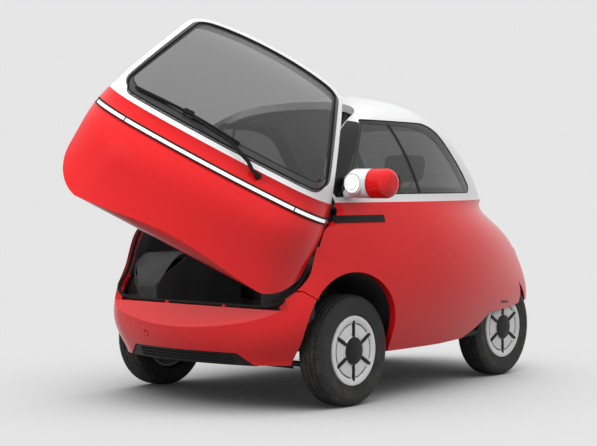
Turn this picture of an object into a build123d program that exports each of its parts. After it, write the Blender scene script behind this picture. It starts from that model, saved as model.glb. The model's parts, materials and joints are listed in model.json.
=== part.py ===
from build123d import *
import math
import os

os.makedirs("parts", exist_ok=True)

# A two-seat bubble microcar with one front door, a rear hatch and a narrow rear track.
# Millimetres. +X forwards, +Y to the car's left, +Z up. The origin is on the ground,
# on the centreline, midway between the two axles. The front door stands open.

# ---- running gear sizes ----
AXLE_X = 740.0              # half the wheelbase
TYRE_RADIUS = 265.0
TYRE_WIDTH = 142.0
RIM_RADIUS = 165.0          # tyre bead seat
RIM_WALL = 9.0
RIM_WIDTH = 124.0
COVER_RADIUS = 160.0        # wheel cover inside the rim's lip
COVER_THICK = 10.0
COVER_INSET = 12.0          # cover's face behind the tyre's side
HUB_CAP_RADIUS = 67.0
HUB_CAP_RISE = 6.0
SPOKE_COUNT = 6
SPOKE_WIDTH = 14.0
SPOKE_RISE = 3.0
FRONT_WHEEL_FACE = 680.0    # outer side of a front tyre from the centreline
REAR_WHEEL_FACE = 555.0
STUB_RADIUS = 16.0
AXLE_TUBE_RADIUS = 26.0
TRAILING_ARM_Y = (333.0, 373.0)
AXLE_ROOM = 1.0             # round the rear axle where it passes through the floor
STUB_CLEARANCE = 0.05
KINGPIN_OFFSET = 34.0       # kingpin inboard of the wheel's middle
KINGPIN_RADIUS = 9.0
PIN_CLEARANCE = 0.05
KNUCKLE_LENGTH = 56.0
KNUCKLE_DEPTH = 44.0
KNUCKLE_HEIGHT = 150.0
ARM_THICK = 22.0
ARM_WIDTH = 46.0
ARM_GAP = 1.0               # running gap between an arm and its knuckle

# ---- body sizes ----
WALL = 34.0                 # body side, door and roof, outside to inside
PANEL_GAP = 6.0             # shut line round doors, hatch and bumper
SEAT_GAP = 0.4              # bonded or clipped piece to its seat
BELT_Z = 965.0              # bottom of the white upper body
SILL_Z = 236.0              # underside of the body between the wheels
ROOF_TOP_Z = 1501.0
ROOF_CAP_INSET = 70.0       # the roof's last section is its flattest one shrunk by this
GLASS_THICK = 5.0
GLASS_INSET = 5.0

# Plan sections of the body: height, front end, rear end, half width, x of the widest
# place, and the radii of the front arc, the side's front and rear arcs, the rear arc
# and the front and rear corners.
COLUMNS = ("z", "front", "rear", "half", "widest", "r_front", "r_side_front",
           "r_side_rear", "r_rear", "r_front_corner", "r_rear_corner")
LOWER_SECTIONS = [
    (200, 1205, -1150, 640, 200, 1500, 4500, 3800, 1600, 280, 300),
    (320, 1252, -1220, 690, 180, 1500, 4800, 3800, 1500, 290, 350),
    (440, 1259, -1256, 722, 160, 1500, 5000, 3600, 1400, 300, 400),
    (560, 1238, -1240, 736, 150, 1450, 3900, 3000, 1300, 340, 420),
    (680, 1225, -1180, 732, 150, 1520, 3300, 2550, 1200, 380, 420),
    (820, 1193, -1020, 705, 160, 1610, 3300, 2000, 1100, 360, 420),
    (965, 1103, -860, 655, 180, 1510, 3300, 1900, 1000, 340, 430),
]
UPPER_SECTIONS = [
    (965, 1099, -830, 650, 180, 1510, 3300, 1900, 1000, 330, 420),
    (1080, 1008, -745, 628, 170, 1460, 3200, 1900, 1000, 300, 420),
    (1200, 876, -622, 595, 160, 1270, 3000, 1900, 1000, 270, 410),
    (1300, 738, -500, 555, 140, 1110, 2800, 1900, 900, 240, 380),
    (1390, 583, -345, 495, 130, 1050, 2600, 1900, 800, 210, 320),
    (1450, 423, -205, 405, 120, 950, 2200, 1800, 700, 180, 260),
    (1489, 238, -60, 265, 100, 850, 1800, 1500, 600, 130, 150),
]

# ---- front door and its hinge ----
DOOR_HALF = 612.0           # half width of the door below the belt
DOOR_BOTTOM_Z = 485.0
DOOR_CORNER = 170.0
DOOR_TOP_HALF = 412.0
DOOR_TOP_Z = 1440.0         # height where the door has that half width
DOOR_TOP_X = 320.0          # rearmost point of the door's curved top edge on the roof
DOOR_TOP_RADIUS = 1156.0    # of that edge, seen from above
DOOR_TOP_CORNER = 80.0      # rounding of the top corners
WINDSCREEN_TOP_X = 385.0
WINDSCREEN_TOP_RADIUS = 1540.0
WINDSCREEN_TOP_CORNER = 50.0
DOOR_SHOULDER_Z = 900.0     # the sides start to lean in here
DOOR_TUCK_RADIUS = 100.0    # rounding under the door
DOOR_TUCK_X = 1150.0
DOOR_FRAME_WIDTH = 44.0     # white frame round the windscreen
HINGE_POINT = (875.0, 589.0, 870.0)
HINGE_AXIS = (-0.5777, -0.0955, 0.8107)
DOOR_OPEN = 50.0            # degrees open as it stands
HINGE_PIN_RADIUS = 6.0
HINGE_EAR_RADIUS = 10.0
HINGE_EAR_AT = (24.0, 36.0)     # each ear's span along the axis from the hinge point
HINGE_EAR_ROOM = 2.0
# Each ear's strap runs round the door's edge to the body side: distances to the left of
# the axis and square to it, inwards.
HINGE_STRAP = ((0.0, 0.0), (-10.0, 40.0), (10.0, 68.0), (42.0, 68.0))
HINGE_STRAP_WIDTH = 14.0
# Relief of the frame's edge along the left pillar, as a turned shape about the hinge
# axis: distance along the axis and radius.
PILLAR_RELIEF = ((128.0, 0.0), (135.0, 22.0), (157.0, 46.0), (192.0, 69.0), (240.0, 85.0),
                 (320.0, 93.0), (430.0, 92.0), (512.0, 87.0), (596.0, 90.0), (700.0, 110.0),
                 (760.0, 132.0))
BODY_RELIEF = (130.0, 26.0)     # half length and radius of the body's room round the axis

# ---- wheel openings ----
ARCH_X = 745.0
ARCH_Z = 343.0
ARCH_RADIUS = 295.0
WHEELHOUSE_RADIUS = 322.0
WHEELHOUSE_WALL = 14.0
WHEELHOUSE_INNER_Y = 372.0
CROSSMEMBER_HALF = 250.0
TAIL_FLOOR_X = -1130.0


def section(row):
    return dict(zip(COLUMNS, row))


def corner_centre(c1, r1, c2, r2, side):
    """Where circles of radius r1 and r2 meet, on the wanted end and the left side."""
    dx, dy = c2[0] - c1[0], c2[1] - c1[1]
    d = math.hypot(dx, dy)
    a = (r1 * r1 - r2 * r2 + d * d) / (2 * d)
    h = math.sqrt(r1 * r1 - a * a)
    mid = (c1[0] + a * dx / d, c1[1] + a * dy / d)
    both = [(mid[0] - s * h * dy / d, mid[1] + s * h * dx / d) for s in (1, -1)]
    return max(both, key=lambda p: side * p[0] + p[1])


def pushed(centre, through, radius):
    """The point of a circle that lies on the ray from its centre through a point."""
    dx, dy = through[0] - centre[0], through[1] - centre[1]
    d = math.hypot(dx, dy)
    return (centre[0] + dx / d * radius, centre[1] + dy / d * radius)


def arc_middle(centre, a, b):
    return pushed(centre, ((a[0] + b[0]) / 2, (a[1] + b[1]) / 2), math.dist(centre, a))


def plan_wire(row, inset, drop=0.0):
    """The body's plan outline at one height: twelve tangent arcs, mirrored about y = 0."""
    s = section(row)
    front = s["front"] - inset
    rear = s["rear"] + inset
    widest = (s["widest"], s["half"] - inset)
    radius = {key: s[key] - inset for key in COLUMNS if key.startswith("r_")}
    c_front = (front - radius["r_front"], 0.0)
    c_side_f = (widest[0], widest[1] - radius["r_side_front"])
    c_side_r = (widest[0], widest[1] - radius["r_side_rear"])
    c_rear = (rear + radius["r_rear"], 0.0)
    rf, rr = radius["r_front_corner"], radius["r_rear_corner"]
    c_cf = corner_centre(c_front, radius["r_front"] - rf, c_side_f,
                         radius["r_side_front"] - rf, 1)
    c_cr = corner_centre(c_rear, radius["r_rear"] - rr, c_side_r,
                         radius["r_side_rear"] - rr, -1)
    joins = [
        (front, 0.0),
        pushed(c_front, c_cf, radius["r_front"]),
        pushed(c_side_f, c_cf, radius["r_side_front"]),
        widest,
        pushed(c_side_r, c_cr, radius["r_side_rear"]),
        pushed(c_rear, c_cr, radius["r_rear"]),
        (rear, 0.0),
    ]
    centres = [c_front, c_cf, c_side_f, c_side_r, c_cr, c_rear]
    left = [(a, arc_middle(c, a, b), b) for a, b, c in zip(joins, joins[1:], centres)]
    right = [tuple((x, -y) for x, y in reversed(arc)) for arc in reversed(left)]
    z = s["z"] - drop
    return Wire([Edge.make_three_point_arc(*[(x, y, z) for x, y in arc])
                 for arc in left + right])


def lower_solid(inset):
    return Solid.make_loft([plan_wire(row, inset) for row in LOWER_SECTIONS])


def upper_solid(inset):
    """The upper body, shrunk by inset to the sides and, towards the roof, downwards."""
    belt, top = UPPER_SECTIONS[0][0], UPPER_SECTIONS[-1][0]
    wires = []
    for row in UPPER_SECTIONS:
        share = (row[0] - belt) / (top - belt)
        wires.append(plan_wire(row, inset, inset * share * share))
    cap = (ROOF_TOP_Z,) + UPPER_SECTIONS[-1][1:]
    wires.append(plan_wire(cap, min(inset + ROOF_CAP_INSET, 110.0), inset))
    return Solid.make_loft(wires)


def side_prism(points, y_low, y_high, radii=None):
    """A prism across the car from points in side view (x, z)."""
    return prism(points, radii, Plane.XZ.offset(-y_low), -(y_high - y_low))


def front_prism(points, x_low, x_high, radii=None):
    """A prism along the car from points in front view (y, z)."""
    return prism(points, radii, Plane.YZ.offset(x_low), x_high - x_low)


def prism(points, radii, plane, depth):
    loop = list(points) + [points[0]]
    face = make_face(Polyline(*loop))
    for point, r in zip(points, radii or [0] * len(points)):
        if r:
            near = face.vertices().sort_by_distance(Vector(point[0], point[1], 0))[0]
            face = fillet(near, r)
    return extrude(plane * face, depth)


def box(x, y, z):
    """A box from three (low, high) pairs."""
    return Pos((x[0] + x[1]) / 2, (y[0] + y[1]) / 2, (z[0] + z[1]) / 2) * Box(
        x[1] - x[0], y[1] - y[0], z[1] - z[0])


def y_cylinder(radius, x, z, y_low, y_high):
    return Pos(x, (y_low + y_high) / 2, z) * Rot(90, 0, 0) * Cylinder(radius, y_high - y_low)


def rod(a, b, radius):
    """A round bar between two points."""
    a, b = Vector(*a), Vector(*b)
    plane = Plane(origin=a, z_dir=b - a)
    return extrude(plane * Circle(radius), (b - a).length)


nodes = {}


def add(name, shape):
    nodes[name] = shape


# ---- shells that the panels are cut from ----
lower_outer, lower_inner = lower_solid(0), lower_solid(WALL)
upper_outer, upper_inner = upper_solid(0), upper_solid(WALL)
lower_shell = lower_outer - lower_inner
upper_shell = upper_outer - upper_inner
glass_shell = upper_solid(GLASS_INSET) - upper_solid(GLASS_INSET + GLASS_THICK)


def door_region(grow):
    """Front-view outline of the door, cut off at the roof edge and grown by a gap."""
    half, top_half = DOOR_HALF + grow, DOOR_TOP_HALF + grow
    lean = (top_half - half) / (DOOR_TOP_Z - DOOR_SHOULDER_Z)
    high = ROOF_TOP_Z + 50
    far = half + lean * (high - DOOR_SHOULDER_Z)
    low = DOOR_BOTTOM_Z - grow
    points = [(-half, low), (half, low), (half, DOOR_SHOULDER_Z), (far, high),
              (-far, high), (-half, DOOR_SHOULDER_Z)]
    radii = [DOOR_CORNER + grow, DOOR_CORNER + grow, 300, 0, 0, 300]
    region = front_prism(points, 200, 1400, radii)
    return cut_at_roof(region, DOOR_TOP_X, DOOR_TOP_RADIUS, DOOR_TOP_CORNER, grow)


def cut_at_roof(region, x, radius, corner, grow):
    """Ends a leaning region at an upright arc, seen from above, and rounds its top corners."""
    arc = Pos(x + radius, 0, ROOF_TOP_Z / 2) * Cylinder(radius + grow, 2 * ROOF_TOP_Z)
    region = region & arc
    return fillet(region.edges().filter_by(GeomType.ELLIPSE), corner + grow)


def door_tuck(inset):
    """Side view of the door's lower edge, rounded under; open behind the lower wall."""
    low = DOOR_BOTTOM_Z + inset
    nose = DOOR_TUCK_X + DOOR_TUCK_RADIUS - inset
    wall_back = DOOR_TUCK_X - 50
    if inset:
        points = [(wall_back, 300), (wall_back, low), (nose, low), (nose, BELT_Z + 1),
                  (200, BELT_Z + 1), (200, 300)]
        radii = [0, 0, DOOR_TUCK_RADIUS - inset, 0, 0, 0]
    else:
        points = [(200, low), (nose, low), (nose, BELT_Z + 1), (200, BELT_Z + 1)]
        radii = [0, DOOR_TUCK_RADIUS, 0, 0]
    return side_prism(points, -700, 700, radii)


def build_door():
    region = door_region(0)
    skin = lower_outer & door_tuck(0) & region
    panel = skin - (lower_inner & door_tuck(WALL))
    inner = DOOR_FRAME_WIDTH
    glass_hole = windscreen_region(0)
    frame = (upper_shell & region) - glass_hole
    glass = glass_shell & windscreen_region(-SEAT_GAP)
    return panel, frame, glass


def windscreen_region(grow):
    low = BELT_Z + 30 - grow
    half_low = DOOR_HALF - DOOR_FRAME_WIDTH - 28 + grow
    half_top = DOOR_TOP_HALF - DOOR_FRAME_WIDTH + grow
    lean = (half_top - half_low) / (DOOR_TOP_Z - low)
    high = ROOF_TOP_Z + 50
    far = half_low + lean * (high - low)
    points = [(-half_low, low), (half_low, low), (far, high), (-far, high)]
    region = front_prism(points, 250, 1400, [50 + grow, 50 + grow, 0, 0])
    return cut_at_roof(region, WINDSCREEN_TOP_X, WINDSCREEN_TOP_RADIUS,
                       WINDSCREEN_TOP_CORNER, grow)



# ---- other panel sizes ----
LEDGE = ((1105.0, 472.0), (1130.0, 472.0), (1248.0, 388.0))   # x, z of the door's step
LEDGE_THICK = 26.0
BUMPER_SEAM = ((905.0, 492.0), (975.0, 513.0), (1040.0, 556.0))
BUMPER_BOTTOM_Z = 212.0
GRILLE_TOP_Z = 268.0
GRILLE_HALF = 335.0
GRILLE_SLANT = 110.0
SILL_REAR = ((30.0, 240.0), (-202.0, 250.0), (-330.0, 300.0), (-450.0, 372.0),
             (-640.0, 376.0), (-980.0, 398.0))
HATCH_HALF = 430.0
HATCH_TOP_HALF = 330.0
HATCH_BOTTOM_Z = 520.0
HATCH_TOP = (-372.0, 1385.0)    # x and z of the hatch's top edge on the roof
HATCH_TOP_SLOPE = 50.0
HATCH_FRAME_WIDTH = 50.0
HATCH_OPEN = 70.0
SIDE_WINDOW = ((748.0, 1002.0), (458.0, 1372.0), (-95.0, 1362.0), (-432.0, 1002.0))
SIDE_WINDOW_RADII = (22.0, 26.0, 260.0, 30.0)
CABIN_FLOOR = (246.0, 272.0)
JACK_PAD_X = (65.0, 135.0)
JACK_PAD_Y = (465.0, 535.0)
JACK_PAD_Z = 228.0          # underside of the pads, below the sills
BOOT_FLOOR = (444.0, 462.0)
BOOT_STEP_X = -454.0        # the floor steps up over the motor here
REAR_WELL_RADIUS = 290.0
REAR_TYRE_ROOM = 12.0       # body side hollowed this far round the rear tyre


def hatch_region(grow):
    """Rear-view outline of the hatch, cut off at the roof edge."""
    low = HATCH_BOTTOM_Z - grow
    half, top_half = HATCH_HALF + grow, HATCH_TOP_HALF + grow
    lean = (top_half - half) / (HATCH_TOP[1] - BELT_Z)
    high = ROOF_TOP_Z + 50
    far = half + lean * (high - BELT_Z)
    points = [(-half, low), (half, low), (half, BELT_Z), (far, high), (-far, high),
              (-half, BELT_Z)]
    region = front_prism(points, -1400, -100, [70 + grow, 70 + grow, 300, 0, 0, 300])
    edge = Pos(HATCH_TOP[0] + grow, 0, HATCH_TOP[1]) * Rot(0, -HATCH_TOP_SLOPE, 0)
    return region & (edge * Pos(-1000, 0, 0) * Box(2000, 2000, 2400))


def rear_window_region(grow):
    low = BELT_Z + 40 - grow
    half_low = HATCH_HALF - HATCH_FRAME_WIDTH + grow
    half_top = HATCH_TOP_HALF - HATCH_FRAME_WIDTH + grow
    lean = (half_top - half_low) / (HATCH_TOP[1] - low)
    high = ROOF_TOP_Z + 50
    far = half_low + lean * (high - low)
    points = [(-half_low, low), (half_low, low), (far, high), (-far, high)]
    region = front_prism(points, -1400, -100, [50 + grow, 50 + grow, 0, 0])
    edge = (Pos(HATCH_TOP[0] - HATCH_FRAME_WIDTH + grow, 0, HATCH_TOP[1])
            * Rot(0, -HATCH_TOP_SLOPE, 0))
    return region & (edge * Pos(-1000, 0, 0) * Box(2000, 2000, 2400))


def bumper_region(grow):
    """Side view of the front bumper: under the door's step and the wing seam."""
    (x0, z0), (x1, z1), (x2, z2) = BUMPER_SEAM
    points = [(x0 - grow, 100), (x0 - grow, z0 + grow), (x1, z1 + grow),
              (x2, z2 + grow), (1400, z2 + grow), (1400, 100)]
    return side_prism(points, -800, 800)


def ledge_side(drop, back):
    (xa, za), (xb, zb), (xc, zc) = LEDGE
    run = (xc - xb, zc - zb)
    far = 1.6
    return [(xa - back, 100), (xa - back, za - drop), (xb, zb - drop),
            (xb + run[0] * far, zb + run[1] * far - drop), (xb + run[0] * far, 100)]


def wheel_arch(side):
    """Opening for a front wheel: round above, straight below, through the body side."""
    low, high = sorted((side * WHEELHOUSE_INNER_Y, side * 900))
    return (y_cylinder(ARCH_RADIUS, ARCH_X, ARCH_Z, low, high)
            + box((ARCH_X - ARCH_RADIUS, ARCH_X + ARCH_RADIUS), (low, high), (50, ARCH_Z)))


def build_front_bumper():
    region = bumper_region(0) - door_region(PANEL_GAP)
    outer = lower_outer & region & box((0, 1400), (-800, 800), (BUMPER_BOTTOM_Z, 900))
    step = side_prism(ledge_side(0, 0), -800, 800)
    hollow = side_prism(ledge_side(LEDGE_THICK, 60), -800, 800)
    behind = box((800, LEDGE[0][0]), (-800, 800), (0, 900))
    skin = (outer & lower_shell) & (step + behind)
    shelf = (outer & step) - hollow
    bumper = skin + (shelf - box((0, LEDGE[0][0]), (-900, 900), (0, 900)))
    for side in (1, -1):
        bumper -= wheel_arch(side)
    y, z = TOW_SOCKET
    outer = TOW_SOCKET_RADIUS + TOW_SOCKET_WALL
    mouth, end = TOW_SOCKET_X, TOW_SOCKET_X - TOW_SOCKET_LENGTH
    bumper -= rod((mouth, y, z), (1400, y, z), outer)
    bumper += rod((end - 6, y, z), (mouth, y, z), outer)
    bumper -= rod((end, y, z), (1400, y, z), TOW_SOCKET_RADIUS)
    return bumper - grille_region(SEAT_GAP)


def grille_region(grow):
    half, low = GRILLE_HALF + grow, BUMPER_BOTTOM_Z - 30
    points = [(-half - GRILLE_SLANT, low), (half + GRILLE_SLANT, low),
              (half, GRILLE_TOP_Z + grow), (-half, GRILLE_TOP_Z + grow)]
    return front_prism(points, 900, 1400)


def build_grille():
    inset_shell = lower_solid(6) - lower_solid(24)
    strip = inset_shell & grille_region(-SEAT_GAP)
    return strip & box((1000, 1400), (-500, 500), (BUMPER_BOTTOM_Z - 4, 400))


def sill_cut():
    """Everything under the body's lower edge, from the front arch to the tail."""
    points = [(ARCH_X, SILL_Z), (SILL_REAR[0][0], SILL_REAR[0][1])]
    points += list(SILL_REAR[1:]) + [(-1400, SILL_REAR[-1][1]), (-1400, 50), (ARCH_X, 50)]
    return side_prism(points, -900, 900)


def build_side(side):
    half = box((-1400, 1400), tuple(sorted((side * 2, side * 900))), (100, 1600))
    body = (lower_shell & half) - door_region(PANEL_GAP) - hatch_region(PANEL_GAP)
    body -= bumper_region(PANEL_GAP)
    body -= wheel_arch(side)
    body -= sill_cut()
    body -= tail_region(PANEL_GAP)
    low, high = sorted((0, side * (REAR_WHEEL_FACE + REAR_TYRE_ROOM)))
    return body - y_cylinder(TYRE_RADIUS + REAR_TYRE_ROOM, -AXLE_X, TYRE_RADIUS, low, high)


def tail_region(grow):
    """The fixed strip of tail under the hatch."""
    half = HATCH_HALF + 20 + grow
    return front_prism([(-half, 200), (half, 200), (half, HATCH_BOTTOM_Z + 90),
                        (-half, HATCH_BOTTOM_Z + 90)], -1400, -900)


def build_tail():
    tail = (lower_shell & tail_region(0)) - hatch_region(PANEL_GAP)
    tail -= box((-1400, 0), (-900, 900), (0, SILL_REAR[-1][1]))
    for y in (-PLATE_HOLE_SPACING / 2, PLATE_HOLE_SPACING / 2):
        tail -= rod((-1300, y, PLATE_HOLE_Z), (-1100, y, PLATE_HOLE_Z), PLATE_HOLE_RADIUS)
    return tail


def window_prism(side, grow):
    """Side window outline, grown all round, through one side of the upper body."""
    low, high = sorted((side * 250, side * 900))
    shape = make_face(Polyline(*SIDE_WINDOW, SIDE_WINDOW[0]))
    for point, r in zip(SIDE_WINDOW, SIDE_WINDOW_RADII):
        near = shape.vertices().sort_by_distance(Vector(point[0], point[1], 0))[0]
        shape = fillet(near, r)
    if grow:
        shape = offset(shape, grow)
    return extrude(Plane.XZ.offset(-low) * shape, -(high - low))


def build_roof():
    roof = upper_shell - door_region(PANEL_GAP) - hatch_region(PANEL_GAP)
    for side in (1, -1):
        roof -= window_prism(side, 0)
    return roof



# ---- sizes of fittings and inside pieces ----
LIGHT_BAR_Z = (874.0, 902.0)
LIGHT_BAR_STAND = 9.0       # how far the light bar stands out of the door
LIGHT_BAR_END = 4.0         # its ends inside the door's edge
LIGHT_STRIP_Z = (881.0, 895.0)  # white strip along the middle of the bar
LIGHT_STRIP_STAND = 4.0
LIGHT_STRIP_END = 14.0
LIGHT_STRIP_BREAK = (435.0, 6.0)    # y of the strip's breaks and their width
SIDE_STRIP = ((498.0, 826.0), (871.0, 905.0))   # x and z of the black strip
SIDE_STRIP_STAND = 5.0
POD_CENTRE = (702.0, 1056.0)    # x and z of the mirror pod's axis
POD_Y = (622.0, 880.0)
POD_RADIUS = 70.0
POD_ROUNDING = 46.0
POD_SPLIT_Y = 762.0         # headlamp housing inside, mirror cap outside
POD_FOOT_RADIUS = 24.0
LAMP_Y = 688.0
LAMP_RADIUS = 54.0
LAMP_DEPTH = 34.0
LAMP_STAND = 10.0
REAR_BAR_Z = (652.0, 686.0)
REAR_BAR_STAND = 8.0
WIPER_PIVOT = (216.0, 944.0)    # y and z on the closed door
WIPER_ELBOW = (34.0, 1004.0)
WIPER_STAND = 18.0          # arm and blade in front of the glass
WIPER_BLADE_Y = (-459.0, 74.0)
WIPER_BLADE_Z = 1028.0
WIPER_BLADE_RADIUS = 5.0
SEAT_X = (-130.0, 340.0)
SEAT_HALF = 500.0
SEAT_Z = (430.0, 560.0)
SEAT_EDGE = 36.0
BACK_THICK = 120.0
BACK_LEAN = 14.0
BACK_HEIGHT = 480.0
BACK_FOOT = (96.0, 16.7)    # foot of the seat back from the cushion's rear edge and top
HEADREST_SIZE = (90.0, 250.0, 150.0)
HEADREST_Y = 245.0
BATTERY = ((-130.0, 330.0), (-340.0, 340.0), (272.4, 429.6))
MOTOR = ((-850.0, -610.0), (-170.0, 170.0), (200.0, 443.6))
COLUMN_FOOT = (860.0, 225.0, 300.0)
COLUMN_TOP = (262.0, 225.0, 800.0)
COLUMN_RADIUS = 20.0
STEERING_WHEEL_RADIUS = 175.0
STEERING_RIM_RADIUS = 13.0
COLUMN_PLINTH = 66.0        # square foot of the steering column
HATCH_HINGE = (-361.0, 1384.6)  # x and z of its axis, just above the skin
HATCH_HINGE_Y = (85.0, 125.0)   # span of each barrel on the hatch
HATCH_HINGE_RADIUS = 9.0
HATCH_PIN_RADIUS = 5.0
HATCH_EAR = 10.0            # length of the roof's ear at each end of a barrel
HATCH_EAR_GAP = 1.0
HATCH_HINGE_ROOM = 5.0      # round the barrels and ears
HATCH_LEAF = (26.0, 9.0)    # reach and thickness of the leaf under a barrel or an ear
HATCH_LEAF_DROP = 5.5       # leaf's middle below the axis
HATCH_LEAF_SLOPE = 27.0
TOW_SOCKET = (-215.0, 330.0)    # y and z of the towing socket
TOW_SOCKET_RADIUS = 8.0
TOW_SOCKET_WALL = 9.0
TOW_SOCKET_LENGTH = 42.0
TOW_SOCKET_X = 1225.0
PLATE_HOLE_SPACING = 300.0
PLATE_HOLE_RADIUS = 3.0
PLATE_HOLE_Z = 460.0


def wheel_centre_y(face, side):
    return side * (face - TYRE_WIDTH / 2)


def turned(points, radii):
    """A solid of revolution about the Y axis from (radius, y) points with fillets."""
    face = make_face(Polyline(*points, points[0]))
    for point, r in zip(points, radii):
        if r:
            near = face.vertices().sort_by_distance(Vector(point[0], point[1], 0))[0]
            face = fillet(near, r)
    return revolve(face, Axis.Y, 360)


def build_tyre():
    """A plain tyre about the Y axis, outer side at +Y."""
    half = TYRE_WIDTH / 2
    bead = RIM_WIDTH / 2 - RIM_WALL
    points = [(TYRE_RADIUS, -half + 8), (TYRE_RADIUS, half - 8),
              (TYRE_RADIUS - 34, half), (RIM_RADIUS + 30, half), (RIM_RADIUS + SEAT_GAP, bead),
              (RIM_RADIUS + SEAT_GAP, -bead), (RIM_RADIUS + 30, -half),
              (TYRE_RADIUS - 34, -half)]
    return turned(points, [14, 14, 20, 20, 0, 0, 20, 20])


def build_wheel():
    """Rim, disc and spoked cover about the Y axis, outer side at +Y."""
    half = RIM_WIDTH / 2
    inner = RIM_RADIUS - RIM_WALL
    face = TYRE_WIDTH / 2 - COVER_INSET
    barrel = turned([(inner, -half + 12), (RIM_RADIUS, -half + 12), (RIM_RADIUS, face - COVER_THICK),
                     (inner, face - COVER_THICK)], [0, 0, 0, 0])
    disc = turned([(STUB_RADIUS + STUB_CLEARANCE, face - 48), (70, face - 48),
                   (inner + 2, face - 12), (COVER_RADIUS, face - COVER_THICK), (COVER_RADIUS, face),
                   (COVER_RADIUS - 26, face + 3), (COVER_RADIUS - 34, face - 4), (70, face),
                   (HUB_CAP_RADIUS, face + HUB_CAP_RISE), (0, face + HUB_CAP_RISE),
                   (0, face - 18), (STUB_RADIUS + STUB_CLEARANCE, face - 18)],
                  [0] * 12)
    wheel = barrel + disc
    spoke = box((HUB_CAP_RADIUS - 6, COVER_RADIUS - 26),
                (face - 8, face + SPOKE_RISE), (-SPOKE_WIDTH / 2, SPOKE_WIDTH / 2))
    for k in range(SPOKE_COUNT):
        wheel += Rot(0, 30 + 360 / SPOKE_COUNT * k, 0) * spoke
    return wheel


def build_knuckle(side):
    """Upright between two ball pins, with the stub that the wheel turns on."""
    y_wheel = wheel_centre_y(FRONT_WHEEL_FACE, side)
    y_pin = y_wheel - side * KINGPIN_OFFSET
    upright = Pos(AXLE_X, y_pin, TYRE_RADIUS) * Box(KNUCKLE_LENGTH, KNUCKLE_DEPTH, KNUCKLE_HEIGHT)
    bore = Pos(AXLE_X, y_pin, TYRE_RADIUS) * Cylinder(KINGPIN_RADIUS + PIN_CLEARANCE, KNUCKLE_HEIGHT + 2)
    stub_end = FRONT_WHEEL_FACE - COVER_INSET - 18 - SEAT_GAP
    low, high = sorted((y_pin + side * (KINGPIN_RADIUS + 4), side * stub_end))
    stub = y_cylinder(STUB_RADIUS, AXLE_X, TYRE_RADIUS, low, high)
    return (upright - bore) + stub


def build_front_arms():
    """Crossmember, two arms and a kingpin on each side; the upper arms end on the wheelhouses."""
    low_z = TYRE_RADIUS - KNUCKLE_HEIGHT / 2 - ARM_GAP - ARM_THICK / 2
    high_z = TYRE_RADIUS + KNUCKLE_HEIGHT / 2 + ARM_GAP + ARM_THICK / 2
    half_thick, half_wide = ARM_THICK / 2, ARM_WIDTH / 2
    shape = box((AXLE_X - 45, AXLE_X + 45), (-CROSSMEMBER_HALF, CROSSMEMBER_HALF),
                (low_z - half_thick, CABIN_FLOOR[0] - SEAT_GAP))
    for side in (1, -1):
        y_pin = wheel_centre_y(FRONT_WHEEL_FACE, side) - side * KINGPIN_OFFSET
        y_tip = y_pin + side * half_thick
        for z, y_root in ((low_z, CROSSMEMBER_HALF - 1), (high_z, WHEELHOUSE_INNER_Y + SEAT_GAP)):
            shape += box((AXLE_X - half_wide, AXLE_X + half_wide), sorted((side * y_root, y_tip)),
                         (z - half_thick, z + half_thick))
        shape += Pos(AXLE_X, y_pin, TYRE_RADIUS) * Cylinder(
            KINGPIN_RADIUS, KNUCKLE_HEIGHT + 2 * ARM_GAP + ARM_THICK)
    return shape


def trailing_arm(side, room):
    """A rear arm from the half axle to the step in the floor, or the room it runs in."""
    inner, outer = TRAILING_ARM_Y
    reach = sorted((side * (inner - room), side * (outer + room)))
    return box((-AXLE_X - 30 - room, BOOT_STEP_X - SEAT_GAP), reach,
               (TYRE_RADIUS - 26 - room, TYRE_RADIUS + 18 + room))


def build_rear_axle():
    """Two half axles beside the motor, each with a trailing arm to the step in the floor."""
    stub_end = REAR_WHEEL_FACE - COVER_INSET - 18 - SEAT_GAP
    inner = REAR_WHEEL_FACE - TYRE_WIDTH - 30
    shapes = []
    for side in (1, -1):
        tube = sorted((side * (MOTOR[1][1] + SEAT_GAP), side * inner))
        stub = sorted((side * (inner - 20), side * stub_end))
        shapes.append(y_cylinder(AXLE_TUBE_RADIUS, -AXLE_X, TYRE_RADIUS, *tube)
                      + y_cylinder(STUB_RADIUS, -AXLE_X, TYRE_RADIUS, *stub)
                      + trailing_arm(side, 0))
    return Compound(shapes)


def wheel_well(side, x, z, radius, grow):
    """A well round a wheel, open downwards and outwards."""
    low, high = sorted((side * (WHEELHOUSE_INNER_Y - grow), side * 900))
    return (y_cylinder(radius + grow, x, z, low, high)
            + box((x - radius - grow, x + radius + grow), (low, high), (50, z)))


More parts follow.
